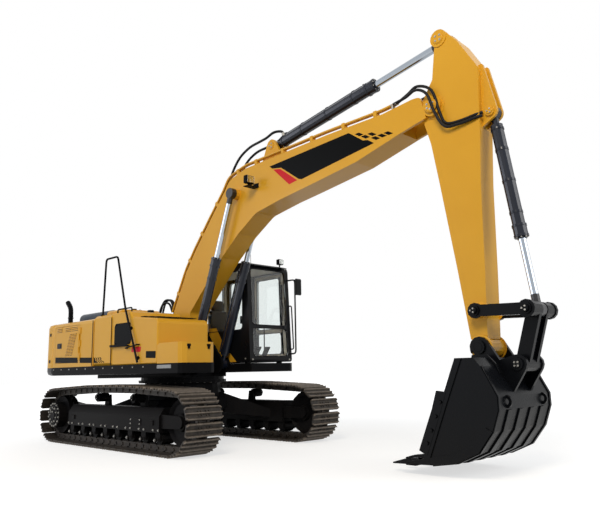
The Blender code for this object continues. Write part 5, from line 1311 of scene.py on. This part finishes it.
def undercarriage_details(side):
    out = SIDES[side]
    middle = out.y * GAUGE / 2
    shape, heads = bmesh.new(), bmesh.new()
    hub = spot(-WHEEL_BASE / 2, middle + out.y * 0.240, WHEEL_Z)
    stick(shape, hub - out * 0.002, hub + out * 0.014, 0.165, 32, 0.155)
    stick(shape, hub + out * 0.012, hub + out * 0.026, 0.085, 28, 0.075)
    bolt_circle(heads, hub - out * 0.001, out, 0.190, 16, across=0.022, height=0.012)
    bolt_circle(heads, hub + out * 0.014, out, 0.122, 9, across=0.020, height=0.010)
    for x in (-0.18, 0.05):
        stick(heads, hub + out * 0.020 + Vector((x * 0.25, 0, 0.05)), hub + out * 0.034 + Vector((x * 0.25, 0, 0.05)),
              0.012, 6)
    ring = spot(-WHEEL_BASE / 2, middle + out.y * 0.048, WHEEL_Z)
    bolt_circle(heads, ring, out, 0.262, 18, across=0.024, height=0.012)
    for k in range(ROLLERS):
        x = -ROLLER_SPAN / 2 + ROLLER_SPAN * k / (ROLLERS - 1)
        cap = spot(x, middle + out.y * 0.168, 0.198)
        stick(shape, cap, cap + out * 0.018, 0.040, 20, 0.036)
        bolt_head(heads, cap + out * 0.018, out, 0.024, 0.010, 0.002)
        for dx in (-0.066, 0.066):
            bolt_head(heads, spot(x + dx, middle + out.y * 0.169, 0.335), out, 0.022, 0.010, 0.003)
    for x in (-CARRIER_BASE / 2, CARRIER_BASE / 2):
        cap = spot(x, middle + out.y * 0.100, CARRIER_Z)
        stick(shape, cap - out * 0.01, cap + out * 0.020, 0.045, 24, 0.040)
        bolt_circle(heads, cap + out * 0.018, out, 0.026, 3, across=0.014, height=0.008, washer=0.001)
    idler = spot(WHEEL_BASE / 2, middle + out.y * 0.102, WHEEL_Z)
    stick(shape, idler, idler + out * 0.014, 0.070, 28, 0.064)
    bolt_circle(heads, idler + out * 0.014, out, 0.044, 4, across=0.018, height=0.008)
    cover = rounded(oblong(0.62, 0.385, 0.92, 0.485), 0.03)
    slab(shape, [spot(x, out.y * 1.360, z) for x, z in cover], out * 0.008)
    for x in (0.645, 0.895):
        for z in (0.405, 0.465):
            bolt_head(heads, spot(x, out.y * 1.368, z), out, 0.016, 0.007, 0.002)
    for x in (-1.20, 1.20):
        block(shape, spot(x - 0.05, out.y * 1.352, 0.40), spot(x + 0.05, out.y * 1.375, 0.47), 0.008)
    piece("undercarriage_covers_" + side, shape, black, "undercarriage", edge=0.001)
    piece("undercarriage_bolts_" + side, heads, bolt_steel, "undercarriage")


for side in SIDES:
    undercarriage_details(side)
ring = bmesh.new()
bolt_circle(ring, spot(0, 0, 0.968), UP, 0.700, 36, across=0.026, height=0.014)
piece("slewing_ring_bolts", ring, bolt_steel, "undercarriage")
print("undercarriage covers and bolts")

# %% [markdown]
# ## The driver's seat
# A working seat is two crowned cushions and a head cushion on two stays, with a piped seam
# round each. A cushion starts as a block, is cut into a fine grid with
# subdivide_edges, swells most in its middle, and is rounded with smooth_vert. The seams are
# thin tubes where the top and side panels of cloth meet.

# %% The driver's seat
CAB_MIDDLE = 0.866


def cushion(name, centre, size, lean, crown):
    """A swollen block of a size, its thin way turned back by an angle, with a seam round it."""
    shape = bmesh.new()
    block(shape, (-0.5, -0.5, -0.5), (0.5, 0.5, 0.5))
    bmesh.ops.subdivide_edges(shape, edges=shape.edges, cuts=11, use_grid_fill=True)
    for vert in shape.verts:
        u, v = 2 * vert.co.x, 2 * vert.co.y
        round_off = 1.0 - 0.10 * (abs(u) ** 6 + abs(v) ** 6) * (2 * abs(vert.co.z))
        swell = 1.0 + crown * (1 - u * u) * (1 - v * v)
        vert.co = Vector((vert.co.x * size[0] * round_off, vert.co.y * size[1] * round_off,
                          vert.co.z * size[2] * swell))
    for _ in range(4):
        bmesh.ops.smooth_vert(shape, verts=shape.verts, factor=0.5, use_axis_x=True, use_axis_y=True, use_axis_z=True)
    turn = Matrix.Translation(spot(*centre)) @ Matrix.Rotation(lean, 4, "Y")
    bmesh.ops.transform(shape, matrix=turn, verts=shape.verts)
    item = piece(name, shape, cloth, "upper", smooth=80)
    rim = rounded([(u * size[0] * 0.455, v * size[1] * 0.465) for u, v in oblong(-1, -1, 1, 1)], 0.06, 6)
    seam = [turn @ Vector((*p, size[2] * 0.405)) for p in rim]
    pipe(name + "_seam", seam, 0.004, moulded, "upper", closed=True)
    return item


seat_cushion = cushion("seat_cushion", (0.195, CAB_MIDDLE, 1.628), (0.50, 0.46, 0.13), -0.04, 0.25)
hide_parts("seat")
cushion("seat_back_cushion", (-0.118, CAB_MIDDLE, 1.955), (0.62, 0.44, 0.11), radians(82), 0.30)
cushion("seat_head_cushion", (-0.175, CAB_MIDDLE, 2.345), (0.20, 0.27, 0.09), radians(82), 0.25)
stays = bmesh.new()
for y in (-0.06, 0.06):
    stick(stays, spot(-0.160, CAB_MIDDLE + y, 2.20), spot(-0.172, CAB_MIDDLE + y, 2.28), 0.007, 10)
block(stays, spot(-0.03, CAB_MIDDLE - 0.18, 1.5565), spot(0.40, CAB_MIDDLE + 0.18, 1.580), 0.006)
piece("seat_base_and_stays", stays, moulded, "upper", edge=0.001)
print("seat: three cushions with their seams")

# %% [markdown]
# ## Inside the cab
# Pale moulded panels line the cab behind the glass, and the levers end in shaped grips. The
# panels follow the inner walls a few millimetres off the steel, so they are thin slabs with
# the window's opening left free; a monitor stands on the right pillar.

# %% Inside the cab
def cab_lining():
    shape = bmesh.new()
    right, left = 0.448, 1.284
    block(shape, spot(-0.400, right, 1.345), spot(1.24, right + 0.012, 1.800), 0.004)
    block(shape, spot(-0.400, right, 1.345), spot(-0.330, right + 0.020, 2.86), 0.004)
    block(shape, spot(-0.404, right, 1.345), spot(-0.392, left, 1.850), 0.004)
    slab(shape, [spot(x, right + 0.001, z) for x, z in ((1.255, 1.36), (1.262, 1.36), (1.195, 2.86), (1.150, 2.86),
                                                        (1.150, 1.80), (1.235, 1.80))], LEFT * 0.018)
    slab(shape, [spot(x, left - 0.010, z) for x, z in ((1.185, 1.36), (1.262, 1.36), (1.195, 2.86), (1.125, 2.86))],
         LEFT * 0.008)
    for y in (right, left - 0.060):
        block(shape, spot(-0.404, y, 1.850), spot(-0.392, y + 0.060, 2.86), 0.004)
    block(shape, spot(-0.400, left, 1.345), spot(0.330, left + 0.004, 1.850), 0.002)
    block(shape, spot(-0.36, right + 0.02, 2.872), spot(1.12, left - 0.02, 2.892), 0.008)
    block(shape, spot(-0.37, right + 0.02, 1.337), spot(1.20, left - 0.02, 1.341), 0.001)
    return shape


piece("cab_lining", cab_lining(), lining, "upper", edge=0.002)
consoles = bmesh.new()
for side in (-1, 1):
    y = CAB_MIDDLE + side * 0.27
    bmesh.ops.create_uvsphere(consoles, u_segments=16, v_segments=12, radius=0.032,
                              matrix=Matrix.Translation(spot(0.583, y, 2.020)) @ Matrix.Diagonal((0.9, 0.9, 1.7, 1.0)))
    stick(consoles, spot(0.548, y, 1.79), spot(0.556, y, 1.85), 0.045, 16, 0.022)
    block(consoles, spot(0.03, y - 0.055, 1.797), spot(0.40, y + 0.055, 1.828), 0.012)
piece("lever_grips_and_armrests", consoles, moulded, "upper", edge=0.001)
monitor = bmesh.new()
block(monitor, spot(0.96, 0.475, 1.93), spot(0.99, 0.640, 2.06), 0.010)
stick(monitor, spot(0.99, 0.50, 1.99), spot(1.14, 0.465, 1.96), 0.010, 10)
piece("monitor", monitor, moulded, "upper")
print("lining, grips, armrests and monitor")

# %% [markdown]
# ## Outside of the cab
# Rubber seals frame the panes, a wiper parks beside the windscreen, and the door has a
# small handle. The front carries a grab rail, the roof a small visor strip over the
# screen, a lamp and an aerial. The mirror's glass is set in its housing.

# %% Outside of the cab
FRONT_LOW, FRONT_HIGH = (1.320, 1.285), (1.235, 2.950)


def front_at(y, z, off=0.0):
    """A point on the cab's leaning front, a distance off it."""
    share = (z - FRONT_LOW[1]) / (FRONT_HIGH[1] - FRONT_LOW[1])
    return spot(FRONT_LOW[0] + (FRONT_HIGH[0] - FRONT_LOW[0]) * share + off, y, z)


def on_front(y, z):
    return front_at(y, z, -0.004)


def on_right(x, z):
    return spot(x, 0.394, z)


def on_left(x, z):
    return spot(x, 1.338, z)


def on_rear(y, z):
    return spot(-0.458, y, z)


SEALS = (
    # name, corners, the side they lie on, body, rounding of the corners
    ("windscreen_seal", oblong(0.467, 1.895, 1.265, 2.850), on_front, "upper", 0.075),
    ("lower_window_seal", oblong(0.467, 1.375, 1.265, 1.845), on_front, "upper", 0.075),
    ("right_window_seal", oblong(-0.32, 1.82, 1.125, 2.82), on_right, "upper", 0.075),
    ("left_window_seal", oblong(-0.34, 1.87, 0.29, 2.82), on_left, "upper", 0.075),
    ("rear_window_seal", oblong(0.512, 1.87, 1.220, 2.82), on_rear, "upper", 0.075),
    ("door_window_seal", ((0.45, 1.87), (1.07, 1.87), (1.04, 2.78), (0.45, 2.78)), on_left, "cab_door", 0.06),
    ("door_lower_seal", ((0.45, 1.425), (1.09, 1.425), (1.08, 1.80), (0.45, 1.80)), on_left, "cab_door", 0.06),
)
for name, corners, place, body, round_off in SEALS:
    pipe(name, [place(u, v) for u, v in rounded(corners, round_off, 6)], 0.009, rubber, body, closed=True)

side_plate = bmesh.new()
slab(side_plate, [spot(x, 0.3915, z) for x, z in ((0.22, 1.292), (0.97, 1.292), (0.62, 1.60), (0.42, 1.885),
                                                  (0.22, 1.885))], RIGHT * 0.003)
piece("yellow_side_plate", side_plate, yellow, "upper")
door_lining = bmesh.new()
for low_x, high_x, low_z, high_z in ((0.40, 1.15, 1.36, 1.420), (0.40, 1.12, 1.805, 1.865), (0.40, 0.442, 1.36, 2.83),
                                     (0.40, 1.09, 2.785, 2.835)):
    block(door_lining, spot(low_x, 1.2945, low_z), spot(high_x, 1.2995, high_z), 0.001)
piece("cab_door_lining", door_lining, lining, "cab_door")

wiper = bmesh.new()
stick(wiper, front_at(1.20, 1.872, -0.004), front_at(1.20, 1.872, 0.022), 0.020, 14)
stick(wiper, front_at(1.20, 1.872, 0.020), front_at(1.16, 2.30, 0.024), 0.006, 8)
slab(wiper, [front_at(y, z, 0.004) for y, z in ((1.135, 1.98), (1.150, 1.98), (1.180, 2.62), (1.165, 2.62))],
     AHEAD * 0.016)
piece("wiper", wiper, moulded, "upper", edge=0.001)
handle = bmesh.new()
slab(handle, [spot(x, 1.3395, z) for x, z in rounded(oblong(1.00, 1.822, 1.10, 1.862), 0.012)], LEFT * 0.006)
block(handle, spot(1.012, 1.343, 1.833), spot(1.085, 1.362, 1.851), 0.005)
piece("cab_door_handle", handle, moulded, "cab_door")
visor = bmesh.new()
slab(visor, [spot(x, 0.47, z) for x, z in ((1.212, 2.925), (1.30, 2.905), (1.302, 2.913), (1.214, 2.938))], LEFT * 0.79)
for y in (0.55, 1.18):
    block(visor, spot(1.215, y, 2.89), spot(1.25, y + 0.012, 2.93), 0.002)
piece("windscreen_visor", visor, cab_black, "upper", edge=0.001)
aerial = bmesh.new()
stick(aerial, spot(0.646, 1.0, 2.948), spot(0.646, 1.0, 2.972), 0.022, 16, 0.014)
stick(aerial, spot(0.646, 1.0, 2.972), spot(0.630, 1.0, 3.25), 0.005, 8, 0.003)
piece("aerial", aerial, moulded, "upper")
pipe("cab_grab_rail", [front_at(1.318, 1.50, -0.02) + LEFT * 0.02, front_at(1.345, 1.50, 0.050),
                       front_at(1.345, 2.25, 0.050), front_at(1.318, 2.25, -0.02) + LEFT * 0.02],
     0.012, black, "upper", 0.05)
mirror_glass = bmesh.new()
block(mirror_glass, spot(1.425, 1.322, 2.445), spot(1.4305, 1.448, 2.705))
piece("mirror_glass", mirror_glass, mirror_silver, "upper", edge=0.001)
bolts = bmesh.new()
for y in (0.45, 1.28):
    for z in (1.325, 2.905):
        bolt_head(bolts, front_at(y, z, -0.002), AHEAD, 0.020, 0.009, 0.002)
for x in (-0.38, 0.35, 1.20):
    bolt_head(bolts, spot(x, 0.392, 1.34), RIGHT, 0.020, 0.009, 0.002)
piece("cab_bolts", bolts, bolt_steel, "upper")
print("cab trimmed")

# %% [markdown]
# ## Lamps
# Working lamps sit on the boom's right side and on the cab's roof. Each has a bright bowl
# and a clear lens in front, and the boom's lamp has cooling fins on its back.

# %% Lamps
def lamp_front(name, at, half_width, half_height, body):
    """A silvered bowl and a lens at the front of a lamp's housing."""
    bowl, cover = bmesh.new(), bmesh.new()
    block(bowl, at + Vector((0.0005, -half_width, -half_height)), at + Vector((0.004, half_width, half_height)), 0.001)
    block(cover, at + Vector((0.005, -half_width, -half_height)), at + Vector((0.011, half_width, half_height)), 0.002)
    piece(name + "_bowl", bowl, mirror_silver, body)
    piece(name + "_lens", cover, lens, body)


lamp_front("cab_lamp", spot(1.150, 1.28, 3.05), 0.048, 0.040, "upper")
boom_lamp = bmesh.new()
block(boom_lamp, spot(2.155, -0.445, 3.935), spot(2.235, -0.285, 4.060), 0.012)
for k in range(5):
    block(boom_lamp, spot(2.146, -0.425 + 0.030 * k, 3.950), spot(2.158, -0.415 + 0.030 * k, 4.045), 0.001)
block(boom_lamp, spot(2.10, -0.40, 3.905), spot(2.22, -0.19, 3.915), 0.001)
stick(boom_lamp, spot(2.19, -0.365, 3.912), spot(2.19, -0.365, 3.940), 0.014, 12)
for x in (2.125, 2.195):
    bolt_head(boom_lamp, spot(x, -0.19, 3.955), RIGHT, 0.018, 0.008, 0.002)
block(boom_lamp, spot(2.10, -0.196, 3.905), spot(2.22, -0.190, 3.98), 0.001)
piece("boom_lamp", boom_lamp, black, "boom", edge=0.001)
lamp_front("boom_lamp", spot(2.235, -0.365, 3.998), 0.066, 0.050, "boom")
print("lamps fitted")

# %% [markdown]
# ## Hoses at the boom's foot
# Hoses leave the control valve on the deck, bend up past the boom's foot pin and meet the
# steel lines on its back. On the machine they take up the boom's swing.

# %% Hoses at the boom's foot
FOOT_LINES = (*LONG_LINES, *SHORT_LINES)
for number, y in enumerate(FOOT_LINES):
    back = 0.0 if abs(y) > 0.15 else 0.05
    route = bow([spot(-0.38, y * 1.5, 1.46), spot(-0.40 - back, y * 1.5, 1.80), spot(-0.43 - back, y * 1.3, 2.12),
                 spot(-0.37 - back * 0.5, y * 1.1, 2.33 + back),
                 spot(-0.20, y, 2.33 + back), spot(-0.095, y, 2.178)], 30)
    foot_hose = piece("boom_foot_hose_%d" % (number + 1), swept(route, HOSE_RADIUS), rubber, None)
    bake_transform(foot_hose)
valve = bmesh.new()
block(valve, spot(-0.56, -0.30, 1.268), spot(-0.535, 0.30, 1.44), 0.006)
block(valve, spot(-0.46, -0.32, 1.268), spot(-0.30, -0.170, 1.45), 0.015)
block(valve, spot(-0.46, 0.170, 1.268), spot(-0.30, 0.32, 1.45), 0.015)
for y in (-0.145, 0.145):
    block(valve, spot(-0.41, y - 0.022, 1.400), spot(-0.35, y + 0.022, 1.440), 0.004)
    block(valve, spot(-0.40, y - 0.040, 1.395), spot(-0.36, y + 0.040, 1.415), 0.004)
for y in FOOT_LINES:
    stick(valve, spot(-0.38, y * 1.5, 1.42), spot(-0.38, y * 1.5, 1.50), 0.024, 6)
piece("valve_blocks", valve, black, "upper", edge=0.001)
print("hoses at the boom's foot")

# %% [markdown]
# ## The end
